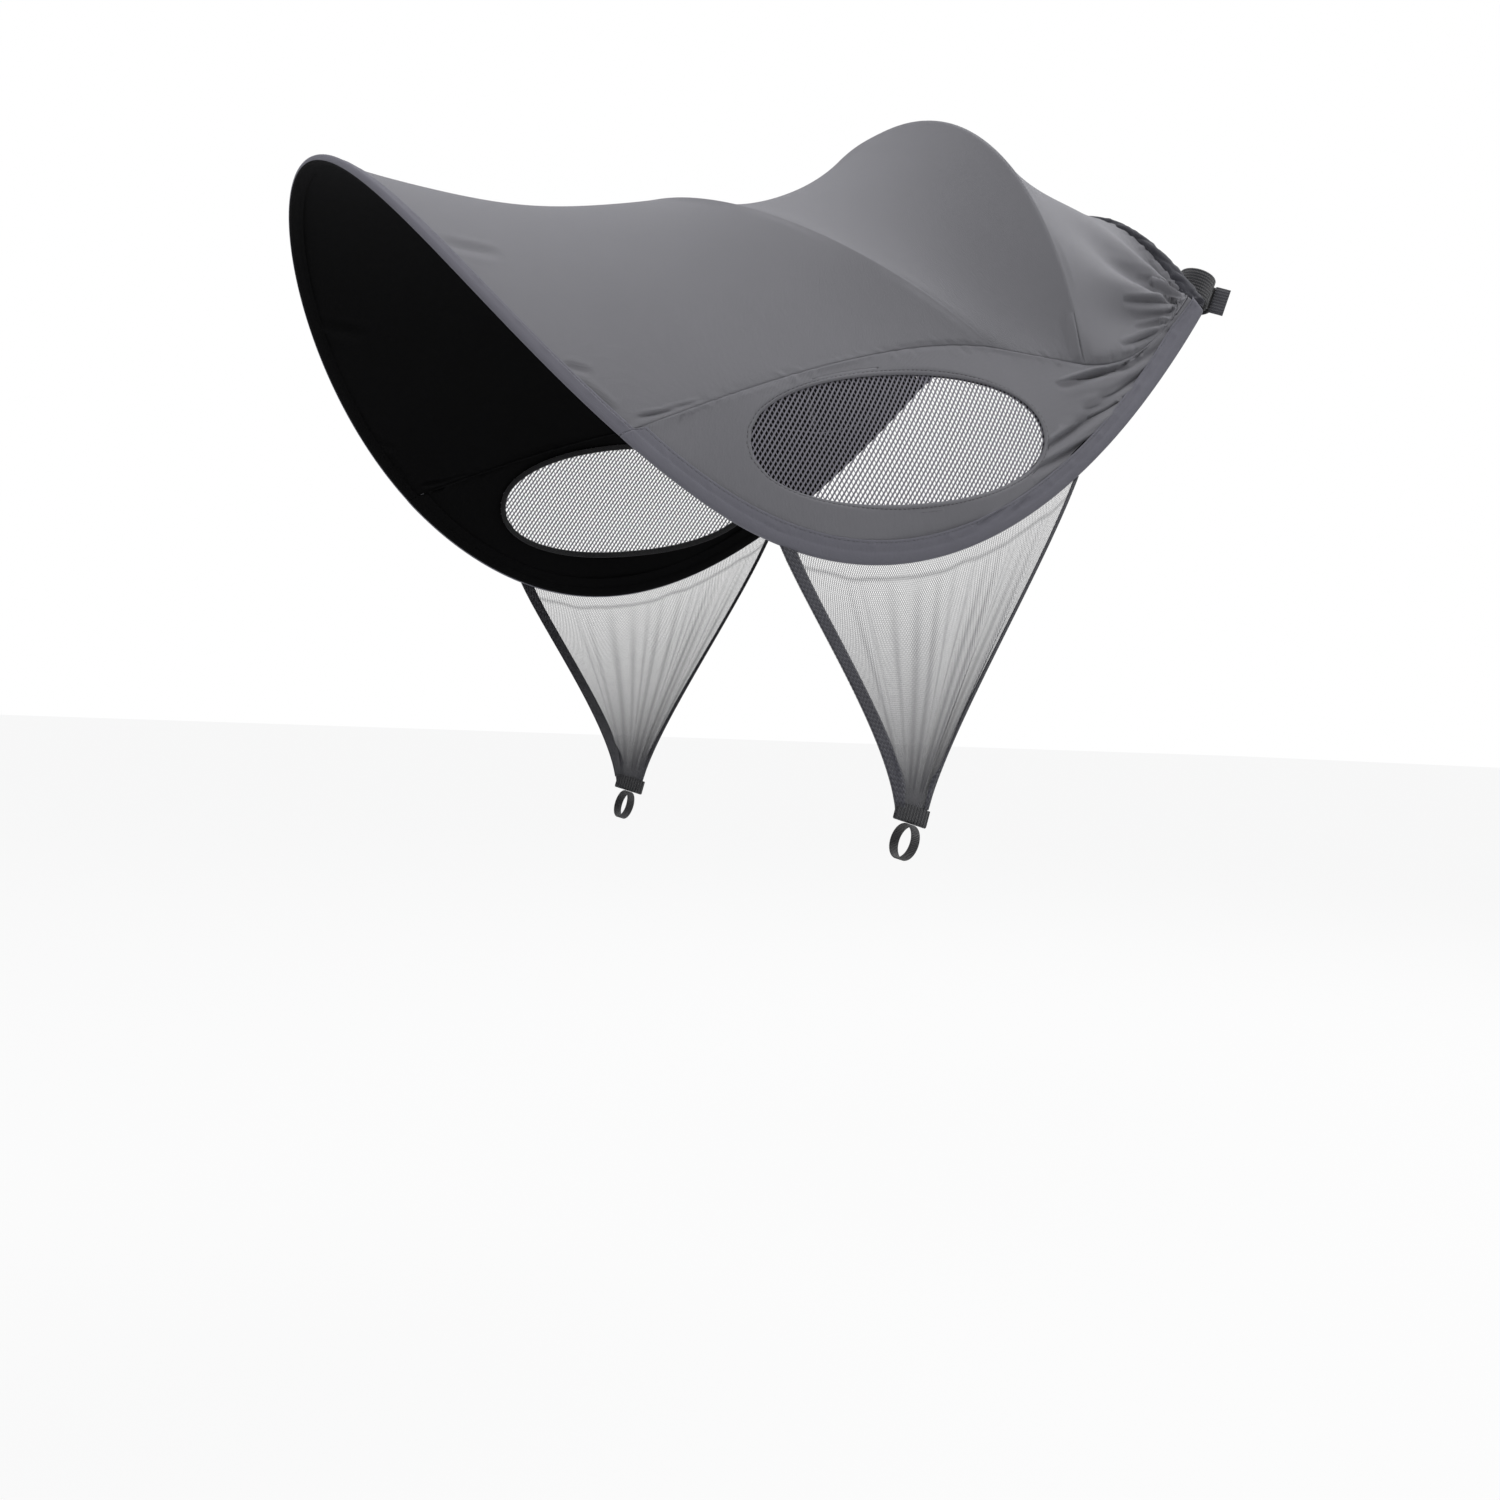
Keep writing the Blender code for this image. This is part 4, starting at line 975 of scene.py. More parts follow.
def carry(item, body):
    # pieces of the lower edge are baked where they lie; every other piece hangs from its body's empty
    if body == "lowerEdge":
        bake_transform(item)
    else:
        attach(item, body)


def standFor(item, node, body):
    # the item replaces a node of the frame
    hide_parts(node)
    carry(item, body)


def paintRims(item, count):
    # the cut edges, which follow the outer and inner faces, are black in front of the middle bow
    for face in item.data.polygons[2 * count:]:
        face.material_index = int(face.center.y < hood["midFoot"][1])


def makeCanopy():
    grid = hoodCloth[:rearRow + 1]
    item = makeSheet("canopyPanel", grid, [canopyCloth, liningAndShadeCloth], cloth["thickness"], 1,
                     {"seam": seamShadeAndPucker[:rearRow + 1]})
    paintRims(item, rearRow * (grid.shape[1] - 1))
    standFor(item, "canopy_panel", "hood")
    areaOf(plainCloth[:rearRow + 1])


def makeRearPanel():
    grid = hoodCloth[rearRow:].copy()
    grid[-1] += unit(grid[-2] - grid[-1]) * canopy["hemGap"]
    item = makeSheet("rearPanel", grid, [canopyCloth, liningAndShadeCloth], cloth["thickness"], 1,
                     {"seam": seamShadeAndPucker[rearRow:]})
    standFor(item, "rear_panel", "lowerEdge")
    areaOf(plainCloth[rearRow:])


makeCanopy()
makeRearPanel()
print("canopy and rear panel made")

# side panels: the cloth between the rim and the seam, with a window

side = {
    "edge": 0.0024,
    "bulge": 0.012,
    "seamStart": 0.011,
    "spacing": 0.0022,
    "flat": (0.57, 0.175),
    "rings": 60,
    "ringSpread": 0.93,
    "nearRings": (0.0, 0.0004, 0.0009, 0.0015, 0.0024, 0.0030, 0.0036, 0.0046, 0.0065),
    "rollDepth": 0.0013,
    "rollWidth": 0.0016,
    "stitchRing": 5,
    "stitchInset": 0.0030,
    "stitchDepth": 0.00035,
    "stitchWidth": 0.0006,
    "stitchLift": 0.0001,
    "windowEase": 0.006,
    "windowShadeAndPucker": 0.003,
    "seamEase": 0.005,
    "puckerEase": 0.010,
    "rimClear": 0.004,
    "rimEase": 0.012,
    "drape": 0.0010,
}
window = {
    "centre": (-0.312, -0.146),
    "length": 0.264,
    "height": 0.098,
    "tilt": 9.0,
    "fullness": 2.2,
}


def sideFrame():
    start = np.linspace(side["seamStart"], frontSeamLength, 500)
    heads = np.concatenate([pointsAt(frontSeam, start), rearFoot[None], rearSeam[1:]])
    shares = np.linspace(0.0, 1.0, 900)
    heads = atShares(heads, shares)
    feet = pointsAt(rim, startLength + shares * (rimLengths[-1] - startLength))
    tall = np.linalg.norm(heads - feet, axis=1)
    return shares, feet, heads, tall


sideShares, sideFeet, sideHeads, sideTall = sideFrame()


def columnOf(values, u):
    if values.ndim == 1:
        return np.interp(u, sideShares, values)
    return interpolate(u, sideShares, values)


def sideSurface(u, v):
    # the side panel's middle surface: u along the seam, v from the rim up to the seam
    feet, heads, tall = columnOf(sideFeet, u), columnOf(sideHeads, u), columnOf(sideTall, u)
    swell = side["bulge"] * (tall / sideTall.max()) ** 2 * 4 * v * (1 - v)
    return feet + (heads - feet) * v[..., None] + swell[..., None] * np.array([1.0, 0.0, 0.0])


def sideNormals(u, v):
    step = 0.004
    along = sideSurface(np.clip(u + step, 0, 1), v) - sideSurface(np.clip(u - step, 0, 1), v)
    up = sideSurface(u, v + step) - sideSurface(u, v - step)
    return unit(np.cross(along, up))


def sidePlaces(spots):
    # u and v at which the side surface passes over points (y, z) of the side view
    places = []
    for y, z in spots:
        arms = sideHeads[:, 1:] - sideFeet[:, 1:]
        off = np.array([y, z]) - sideFeet[:, 1:]
        turn = arms[:, 0] * off[:, 1] - arms[:, 1] * off[:, 0]
        index = np.nonzero(np.diff(np.sign(turn)))[0]
        index = index[np.argmin(np.abs(sideHeads[index, 1] - y))]
        share = turn[index] / (turn[index] - turn[index + 1])
        u = sideShares[index] + share * (sideShares[index + 1] - sideShares[index])
        arm, away = arms[index], off[index]
        places.append((u, float(away @ arm / (arm @ arm))))
    return np.array(places)


def windowSpots(flat):
    tilt = math.radians(window["tilt"])
    along = flat[..., 0] * math.cos(tilt) - flat[..., 1] * math.sin(tilt)
    up = flat[..., 0] * math.sin(tilt) + flat[..., 1] * math.cos(tilt)
    return np.stack([along + window["centre"][0], up + window["centre"][1]], axis=-1)


def windowOval(count, wider):
    angles = np.linspace(0.0, 2 * math.pi, count, endpoint=False)
    cosines, sines = superellipse(angles, window["fullness"])
    return windowSpots(np.stack([cosines * (window["length"] / 2 + wider),
                                 sines * (window["height"] / 2 + wider)], axis=1))


def sideBorder():
    # the panel's outline in shares: along the rim, up the rear end, and back along the seam
    bottom = np.linspace(0.0, 1.0, int(lengthsAlong(sideFeet)[-1] / side["spacing"]))
    top = np.linspace(1.0, 0.0, int(lengthsAlong(sideHeads)[-1] / side["spacing"]))
    low = side["edge"] / columnOf(sideTall, bottom)
    rear = np.linspace(low[-1], 1.0, 9)[1:-1]
    front = np.linspace(1.0, low[0], 5)[1:-1]
    u = np.concatenate([bottom, np.ones(len(rear)), top, np.zeros(len(front))])
    v = np.concatenate([low, rear, np.ones(len(top)), front])
    return u, v


def sideGrid():
    u, v = sideBorder()
    centre = sidePlaces([window["centre"]])[0]
    oval = sidePlaces(windowOval(720, 0.0))
    aspect = sideTall.max() / lengthsAlong(sideHeads)[-1]
    angles = np.arctan2((v - centre[1]) * aspect, u - centre[0])
    ovalAngles = np.unwrap(np.arctan2((oval[:, 1] - centre[1]) * aspect, oval[:, 0] - centre[0]))
    order = np.argsort(ovalAngles)
    ovalAngles, oval = ovalAngles[order], oval[order]
    period = 2 * math.pi
    innerU = np.interp(angles, ovalAngles, oval[:, 0], period=period)
    innerV = np.interp(angles, ovalAngles, oval[:, 1], period=period)
    spokes = np.linalg.norm(sideSurface(u, v) - sideSurface(innerU, innerV), axis=1)
    near = np.array(side["nearRings"])
    turn = math.pi * side["ringSpread"]
    rest = (1 - np.cos(np.linspace(0.0, turn, side["rings"]))) / (1 - math.cos(turn))
    rings = [np.full_like(spokes, distance) / spokes for distance in near]
    rings += [near[-1] / spokes + (1 - near[-1] / spokes) * share for share in rest[1:]]
    shares = np.array(rings)
    gridU = innerU + (u - innerU) * shares
    gridV = innerV + (v - innerV) * shares
    fromWindow = shares * spokes
    fromSeamLine = (1 - gridV) * columnOf(sideTall, gridU)
    return gridU, gridV, fromWindow, fromSeamLine


def dressSide(gridU, gridV, fromWindow, fromSeamLine, hand):
    points = sideSurface(gridU, gridV)
    normals = sideNormals(gridU, np.clip(gridV, 0.005, 0.995))
    roll = -side["rollDepth"] * np.clip(1 - fromWindow / side["rollWidth"], 0, 1) ** 2
    groove = np.exp(-((fromWindow - side["stitchInset"]) / side["stitchWidth"]) ** 2)
    fade = easing(fromWindow / side["windowEase"]) * easing(fromSeamLine / side["seamEase"])
    fromRim = gridV * columnOf(sideTall, gridU)
    fade = fade * np.clip((fromRim - side["rimClear"]) / side["rimEase"], 0, 1)
    creases = -creaseDepth(onSide(points, hand), sideCreases)
    drape = side["drape"] * np.sin(points[..., 1] * 36 + points[..., 2] * 22 + hand)
    along = columnOf(lengthsAlong(sideHeads), gridU)
    pucker = seamPucker(along, fromSeamLine) * np.clip(fromWindow / side["puckerEase"], 0, 1)
    shift = roll - side["stitchDepth"] * groove + seamRollAt(fromSeamLine) + pucker
    shift = shift + (creases + drape) * fade
    return points + normals * shift[..., None], normals


def makeSidePanels():
    gridU, gridV, fromWindow, fromSeamLine = sideGrid()
    plain = sideSurface(gridU, gridV)
    flat = plain[..., 1:].reshape(-1, 2)
    closed = np.concatenate([plain, plain[:, :1]], axis=1)
    rows, columns = gridU.shape
    # the panel is painted darker along its seam and round the window edge as painted shade, and
    # puckered there by its bump
    mark = np.exp(-(fromSeamLine / canopy["seamShadeAndPucker"]) ** 2)
    mark = mark + 0.8 * np.exp(-(fromWindow / side["windowShadeAndPucker"]) ** 2)
    for name, hand in sides:
        points, normals = dressSide(gridU, gridV, fromWindow, fromSeamLine, hand)
        mesh = meshFrom("sidePanel." + name, onSide(points, hand).reshape(-1, 3),
                        gridFaces(rows, columns, closed=True), flat,
                        onSide(normals, hand).reshape(-1, 3), {"seam": mark})
        item = makePiece("sidePanel." + name, mesh, [sideCloth, liningAndShadeCloth])
        thicken(item, cloth["thickness"], 1)
        paintRims(item, rows * columns - columns)
        standFor(item, "side_panel_" + name, "lowerEdge")
        areaOf(closed)
        outward = normals[side["stitchRing"]]
        path = points[side["stitchRing"]] + outward * (cloth["thickness"] / 2 + side["stitchLift"])
        path, outward = (onSide(np.concatenate([run, run[:1]]), hand) for run in (path, outward))
        stitchRow("windowStitches." + name, path, outward, darkThread, "hood")


makeSidePanels()
print("side panels made")

# window nets: diagonal strands crossed by finer ones, sewn behind the cloth under a tape

net = {
    "inset": 0.0021,
    "margin": 0.0044,
    "pitch": 0.0033,
    "angle": 48.5,
    "strand": 0.0012,
    "strandDepth": 0.0006,
    "crossDepth": 0.00048,
    "crossPitch": 0.0033,
    "crossAngle": -67.5,
    "cross": 0.0005,
    "step": 0.008,
    "border": 0.009,
}
tapeRing = {"width": 0.005, "thickness": 0.001, "inset": 0.0035, "steps": 220}


def insideWindow(flat, margin):
    spread = np.abs(flat / np.array([window["length"] / 2 + margin, window["height"] / 2 + margin]))
    return (spread ** window["fullness"]).sum(axis=-1) <= 1.0


def sideUnder(spots, inset):
    # points under the side surface at places of the side view
    u, v = sidePlaces(spots).T
    return sideSurface(u, v) - sideNormals(u, v) * inset


def netStrands(angle, pitch, inset):
    # lines over the oval at one angle, each a run of points under the cloth
    way = np.array([math.cos(math.radians(angle)), math.sin(math.radians(angle))])
    beside = np.array([-way[1], way[0]])
    reach = window["length"] / 2 + 0.01
    runs = []
    for offset in np.arange(-reach, reach, pitch):
        along = np.linspace(-reach, reach, 400)
        flat = beside * offset + way * along[:, None]
        kept = flat[insideWindow(flat, net["margin"])]
        if len(kept) < 4:
            continue
        count = max(3, int(np.linalg.norm(kept[-1] - kept[0]) / net["step"]) + 2)
        places = np.linspace(0, 1, count)[:, None]
        spots = windowSpots(kept[0] + (kept[-1] - kept[0]) * places)
        runs.append(sideUnder(spots, inset))
    return runs


def strandMesh(runs, width, depth, points, faces):
    for run in runs:
        along = unit(np.gradient(run, axis=0))
        beside = unit(np.cross(along, [1.0, 0.0, 0.0])) * width / 2
        out = np.array([depth / 2, 0.0, 0.0])
        ring = np.stack([run + beside + out, run - beside + out, run - beside - out,
                         run + beside - out], axis=1)
        start = len(points)
        points.extend(ring.reshape(-1, 3).tolist())
        faces.extend((gridFaces(len(run), 4, closed=True) + start).tolist())
        last = start + 4 * (len(run) - 1)
        faces.append((start, start + 1, start + 2, start + 3))
        faces.append((last + 3, last + 2, last + 1, last))


def makeWindows():
    main = netStrands(net["angle"], net["pitch"], net["inset"])
    cross = netStrands(net["crossAngle"], net["crossPitch"], net["inset"])
    points, faces = [], []
    strandMesh(main, net["strand"], net["strandDepth"], points, faces)
    strandMesh(cross, net["cross"], net["crossDepth"], points, faces)
    points = np.array(points)
    ways = ((main, net["strand"]), (cross, net["cross"]))
    strandArea = sum(lengthsAlong(run)[-1] * (width + net["strandDepth"]) for runs, width in ways
                     for run in runs)
    ring = sideUnder(windowOval(tapeRing["steps"], tapeRing["width"] / 2), tapeRing["inset"])
    tapeProfile = flatProfile(tapeRing["width"], tapeRing["thickness"], 1)
    for name, hand in sides:
        mesh = bpy.data.meshes.new("windowNet." + name)
        mesh.from_pydata(onSide(points, hand).tolist(), [], faces)
        recalculate(mesh)
        item = makePiece("windowNet." + name, mesh, [windowNet])
        standFor(item, "window_mesh_" + name, "hood")
        outward = np.tile([hand, 0.0, 0.0], (len(ring), 1))
        tape = sweep("windowTape." + name, onSide(ring, hand), outward, tapeProfile, [tapeWeave],
                     loop=True)
        standFor(tape, "window_tape_" + name, "hood")


makeWindows()
print("windows made")

# folded edges: cloth strips round the rim wire

band = {
    "width": 0.015,
    "margin": 0.003,
    "binding": 0.008,
    "spacing": 0.0021,
    "end": 0.0034,
    "endSteps": (0.35, 0.6, 0.8, 0.92, 0.98),
    "deepest": 0.0009,
}
fold = {
    "turn": 0.00278,
    "start": 0.0040,
    "legRows": 13,
    "turnRows": 11,
    # from this row on, under the turn of the wire and up the inside leg, the strip is near-black:
    # painted shade under the turn
    "blackRow": 20,
    "turnStart": 12.0,
    "loose": 0.86,
    "looseHeight": 0.0016,
    "stitchDrop": 0.0021,
    "stitchDepth": 0.00028,
    "stitchWidth": 0.0008,
    "stitchLift": 0.00005,
    "pucker": 0.00040,
    "puckerPitch": 0.016,
    "puckerLean": 0.02,
}


def foldedStrip(edge, surfaceAt, normalsAt, width, along, closing=1.0):
    # rows from the top of the outer leg, round the wire and up the inner leg; closing draws
    # the legs together at an end
    clear = cloth["thickness"] / 2 + cloth["gap"] + cloth["tape"] / 2
    width = np.broadcast_to(width, len(edge))
    closing = np.broadcast_to(closing, len(edge))[:, None]
    levels = np.linspace(1.0, 0.0, fold["legRows"])
    rise = unit(surfaceAt(width * 0.5) - edge)
    rows = []

    def leg(level, hand):
        height = fold["start"] + (width - fold["start"]) * level
        normals = normalsAt(height)
        loose = fold["turn"] * fold["loose"] - clear
        near = np.exp(-((height - fold["start"]) / fold["looseHeight"]) ** 2)
        lift = clear + loose * near
        if hand > 0:
            place = along / fold["puckerPitch"] + height / fold["puckerLean"]
            wobble = np.clip(ripple(place, 2.2), -0.2, 1.5)
            toStitch = height - width + fold["stitchDrop"]
            lift = lift + fold["pucker"] * (1 + wobble) * np.sin(math.pi * level) ** 0.7
            lift = lift - fold["stitchDepth"] * np.exp(-(toStitch / fold["stitchWidth"]) ** 2)
        return surfaceAt(height) + normals * lift[:, None] * closing * hand

    for level in levels:
        rows.append(leg(level, 1.0))
    normals = normalsAt(np.full(len(edge), fold["start"]))
    normals = unit(normals - rise * np.sum(normals * rise, axis=1, keepdims=True))
    for angle in np.linspace(fold["turnStart"], 180.0 - fold["turnStart"], fold["turnRows"]):
        out, down = math.cos(math.radians(angle)), math.sin(math.radians(angle))
        rows.append(edge + (normals * out - rise * down) * fold["turn"] * closing)
    for level in levels[::-1]:
        rows.append(leg(level, -1.0))
    return np.array(rows)


def stitchedLeg(grid, normals, width):
    # the line on the outer leg where its stitches lie
    row = round((fold["legRows"] - 1) * fold["stitchDrop"] / (width - fold["start"]))
    return grid[row] + normals[row] * (cloth["tape"] / 2 + fold["stitchLift"]), normals[row]


def stripNormals(grid, edge):
    # away from the wire, all round the fold
    away = unit(grid - edge)
    around = unit(np.cross(np.gradient(grid, axis=0), np.gradient(grid, axis=1)))
    turnRow = fold["legRows"] + fold["turnRows"] // 2
    hand = np.sign(np.sum(around[turnRow] * away[turnRow], axis=1))
    return around * hand[None, :, None]


def hoodEdgeSurface(columns):
    lengths = np.linalg.norm(np.diff(plainCloth, axis=0), axis=2)
    start = np.linalg.norm(plainCloth[0] - columns, axis=1)
    heights = np.concatenate([start[None], start + np.cumsum(lengths, axis=0)])
    normals = outwardNormals(plainCloth)

    def lookUp(values, height):
        height = np.broadcast_to(height, len(columns))
        return np.array([[np.interp(height[i], heights[:40, i], values[:40, i, axis])
                          for axis in range(3)] for i in range(len(columns))])

    return (lambda height: lookUp(plainCloth, height)), (lambda height: unit(lookUp(normals, height)))


def makeFold(name, grid, normals, finish, node, body):
    item = makeSheet(name, grid, [finish, liningAndShadeCloth], cloth["tape"],
                     marks={"seam": np.zeros(grid.shape[:2])}, normals=normals,
                     turned=fold["blackRow"])
    standFor(item, node, body)
    areaOf(grid)


def makeRimBinding():
    edge = bothHalves(atShares(frontRim, archShares()))
    surfaceAt, normalsAt = hoodEdgeSurface(edge)
    grid = foldedStrip(edge, surfaceAt, normalsAt, band["binding"], lengthsAlong(edge))
    normals = stripNormals(grid, edge)
    makeFold("rimBinding", grid, normals, bindingCloth, "rim_binding", "hood")
    stitchRow("rimStitches", *stitchedLeg(grid, normals, band["binding"]), thread, "hood")


def makeLowerBands():
    count = int(lengthsAlong(sideFeet)[-1] / band["spacing"])
    beyond = np.concatenate([np.zeros(count), band["endSteps"]])
    u = np.concatenate([np.linspace(0.0005, 1.0, count), np.ones(len(beyond) - count)])
    shift = (beyond * band["end"])[:, None] * unit(sideFeet[-1] - sideFeet[-12])
    edge = columnOf(sideFeet, u) + shift
    tall = columnOf(sideTall, u)
    width = np.minimum(band["width"], tall - band["margin"])

    def surfaceAt(height):
        return sideSurface(u, np.broadcast_to(height, len(u)) / tall) + shift

    def normalsAt(height):
        return sideNormals(u, np.clip(np.broadcast_to(height, len(u)) / tall, 0.01, 0.99))

    closing = np.sqrt(1 - beyond ** 2)
    plain = foldedStrip(edge, surfaceAt, normalsAt, width, lengthsAlong(edge), closing)
    legs = fold["legRows"]
    for name, hand in sides:
        grid = plain.copy()
        creases = -creaseDepth(onSide(grid[:legs], hand), bandCreases)
        creases = creases * np.clip(np.linspace(1.25, 0.0, legs), 0, 1)[:, None]
        grid[:legs] += outwardNormals(plain)[:legs] * np.maximum(creases, -band["deepest"])[..., None]
        grid = onSide(grid, hand)
        normals = stripNormals(grid, onSide(edge, hand))
        makeFold("lowerBand." + name, grid, normals, bandCloth, "lower_band_" + name, "lowerEdge")
        path, outward = stitchedLeg(grid, normals, band["width"])
        stitchRow("bandStitches." + name, path[:count], outward[:count], thread, "lowerEdge")


makeRimBinding()
makeLowerBands()
print("binding and bands made")

# rim wire and its caps

rimWire = {"diameter": 0.0025, "rings": 330, "endGap": 0.0135, "capDiameter": 0.0036,
           "capLength": 0.009, "capGrip": 0.0057, "capNose": 0.55}


def makeCap(name, end, away, node):
    # a turned plastic cap: a cylinder narrowed to a rounded nose
    radius, length = rimWire["capDiameter"] / 2, rimWire["capLength"]
    bpy.ops.object.select_all(action="DESELECT")
    bpy.ops.mesh.primitive_cylinder_add(vertices=20, radius=radius, depth=length)
    item = bpy.context.object
    item.name = item.data.name = name
    item.data.materials.append(tipPlastic)
    bpy.ops.object.mode_set(mode="EDIT")
    bpy.ops.mesh.select_all(action="DESELECT")
    bpy.ops.object.mode_set(mode="OBJECT")
    for face in item.data.polygons:
        face.select = face.normal.z > 0.9
    bpy.ops.object.mode_set(mode="EDIT")
    bpy.ops.mesh.select_mode(type="FACE")
    bpy.ops.mesh.bevel(offset=radius * rimWire["capNose"], segments=4, affect="EDGES")
    bpy.ops.object.mode_set(mode="OBJECT")
    turn = Vector(away).to_track_quat("Z", "Y").to_matrix().to_4x4()
    place = Vector(end) + Vector(away) * (length / 2 - rimWire["capGrip"])
    item.data.transform(Matrix.Translation(place) @ turn)
    item.data.shade_smooth()
    item.data.set_sharp_from_angle(angle=math.radians(45))
    standFor(item, node, "lowerEdge")


def makeRimWire():
    total = rimLengths[-1] - rimWire["endGap"]
    path = bothHalves(pointsAt(rim, np.linspace(0.0, total, rimWire["rings"])))
    outward = np.tile([0.0, 0.0, 1.0], (len(path), 1)) + unit(path - np.array(hood["middle"]))
    item = sweep("rimWire", path, outward, roundProfile(rimWire["diameter"] / 2, 10), [springSteel])
    standFor(item, "rim_wire", "lowerEdge")
    for name, end, before in (("left", path[0], path[1]), ("right", path[-1], path[-2])):
        makeCap("rimWireCap." + name, end, unit(end - before), "rim_wire_tip_" + name)


makeRimWire()

# sleeves that hold the bows under the cloth; the bows themselves are the frame's own

bow = {"depth": 0.0038, "sleeve": 0.0052, "wall": 0.0006, "rings": 220, "apart": 12,
       "endGap": 0.014, "ruck": 0.00018, "ruckPitch": 0.012}


def underBow(line, before, after):
    first = unit(line - before)
    second = unit(after - line)
    bisector = unit(np.cross(first + second, np.gradient(line, axis=0)))
    away = np.sum(bisector * (line - np.array(hood["middle"])), axis=1, keepdims=True)
    bisector = bisector * np.sign(away)
    halfBend = np.sqrt((1 + np.sum(first * second, axis=1, keepdims=True)) / 2)
    return line - bisector * bow["depth"] / halfBend, bisector


def makeSleeve(name, node, row, line):
    middle = plainCloth.shape[1] // 2
    before, after = (plainCloth[row + step][middle:] for step in (-bow["apart"], bow["apart"]))
    under, outward = underBow(line, before, after)
    total = lengthsAlong(under)[-1] - bow["endGap"]
    lengths = np.linspace(0.0, total, bow["rings"])
    path = bothHalves(pointsAt(under, lengths))
    ways = bothHalves(interpolate(lengths, lengthsAlong(under), outward))
    rucks = ripple(lengthsAlong(path) / bow["ruckPitch"], 1.9)[:, None, None] * bow["ruck"]
    profile = roundProfile(bow["sleeve"] / 2, 12)[None]
    profile = profile * (1 - np.abs(rucks) / (bow["sleeve"] / 2))
    item = sweep(name, path, ways, profile, [tapeWeave], caps=False)
    shell = item.modifiers.new("wall", "SOLIDIFY")
    shell.thickness = bow["wall"]
    shell.offset = -1.0
    applyModifiers(item)
    standFor(item, node, "hood")


across = archShares()
makeSleeve("midBowSleeve", "mid_bow_sleeve", midRow, atShares(midBow, across))
makeSleeve("rearBowSleeve", "rear_bow_sleeve", rearRow, atShares(rearBow, across))
print("wire and sleeves made")

# rear hem: a ruched casing with its elastic

hem = {
    "radius": 0.0036,
    "thicker": 0.0034,
    "cornerReach": 0.060,
    "endGap": 0.004,
    "endClose": 0.005,
    "gather": 0.0026,
    "twist": 0.046,
    "uneven": 0.040,
    "pleats": 3,
    "pitch": 0.017,
    "rings": 420,
    "sections": 36,
    "elastic": 0.003,
}


def makeHem():
    total = lengthsAlong(hemLine)[-1] - hem["endGap"]
    path = bothHalves(pointsAt(hemLine, np.linspace(0.0, total, hem["rings"])))
    lengths = lengthsAlong(path)
    lean = math.radians(hood["hemLean"])
    outward = np.tile([0.0, math.cos(lean), -math.sin(lean)], (len(path), 1))
    angles = np.linspace(0.0, 2 * math.pi, hem["sections"], endpoint=False)
    toEnd = lengths[-1] / 2 - np.abs(lengths - lengths[-1] / 2)
    stretch = ripple(lengths[:, None] / hem["uneven"], 2.6)
    twist = np.sign(lengths - lengths[-1] / 2) * (toEnd / hem["twist"])
    place = angles * hem["pleats"] / 2 + twist[:, None] * math.pi + 0.9 * stretch
    bulge = np.abs(np.sin(place)) ** 0.6
    across = ripple(lengths[:, None] / hem["pitch"] + np.sin(angles) * 0.5, 4.4)
    corners = np.exp(-toEnd[:, None] / hem["cornerReach"])
    radius = hem["radius"] + hem["thicker"] * corners
    radius = radius + hem["gather"] * (0.45 + 0.55 * corners) * (bulge * 0.75 + across * 0.25)
    closed = np.clip(toEnd / hem["endClose"], 0.3, 1)
    radius = radius * closed[:, None] ** 0.6
    profile = np.stack([np.cos(angles) * radius, np.sin(angles) * radius], axis=-1)
    item = sweep("rearHem", path, outward, profile, [hemCloth])
    standFor(item, "rear_hem", "rear")
    cord = sweep("rearElastic", path, outward, roundProfile(hem["elastic"] / 2, 12), [elasticCord])
    standFor(cord, "rear_elastic", "rear")


makeHem()
print("rear hem made")

# straps round the handle tubes, with their fastener patches and tails

strap = {
    "tube": 0.028,
    "centre": (0.170, 0.0255, 0.029),
    "lean": 21.0,
    "width": 0.025,
    "thickness": 0.0016,
    "patch": 0.0010,
    "patchWidth": 0.020,
    "start": 100.0,
    "end": -211.0,
    "patchStart": 98.0,
    "patchEnd": 66.0,
    "patchInset": 6.0,
    "tailRise": (1.5, 11.0, 24.0),
    "tabLength": 0.012,
    "tabAngle": 50.0,
}
tubeLean = math.radians(strap["lean"])
tubeAxis = np.array([0.0, math.sin(tubeLean), math.cos(tubeLean)])
tubeOut = np.array([1.0, 0.0, 0.0])
tubeBack = np.cross(tubeAxis, tubeOut)
ringRadius = strap["tube"] / 2 + cloth["gap"] + strap["thickness"] / 2
loopRadius = ringRadius + strap["thickness"] / 2 + cloth["gap"] + strap["patch"] / 2
hookRadius = loopRadius + strap["patch"] + cloth["gap"]
tailRadius = hookRadius + strap["patch"] / 2 + cloth["gap"] + strap["thickness"] / 2
tailAngle = 360.0 + strap["end"] - 1.0


def roundTube(radius, angles):
    angles = np.radians(np.atleast_1d(angles))[:, None]
    return np.array(strap["centre"]) + (tubeOut * np.cos(angles) + tubeBack * np.sin(angles)) * radius


def fromTube(path):
    arms = path - np.array(strap["centre"])
    return unit(arms - tubeAxis * (arms @ tubeAxis)[:, None])


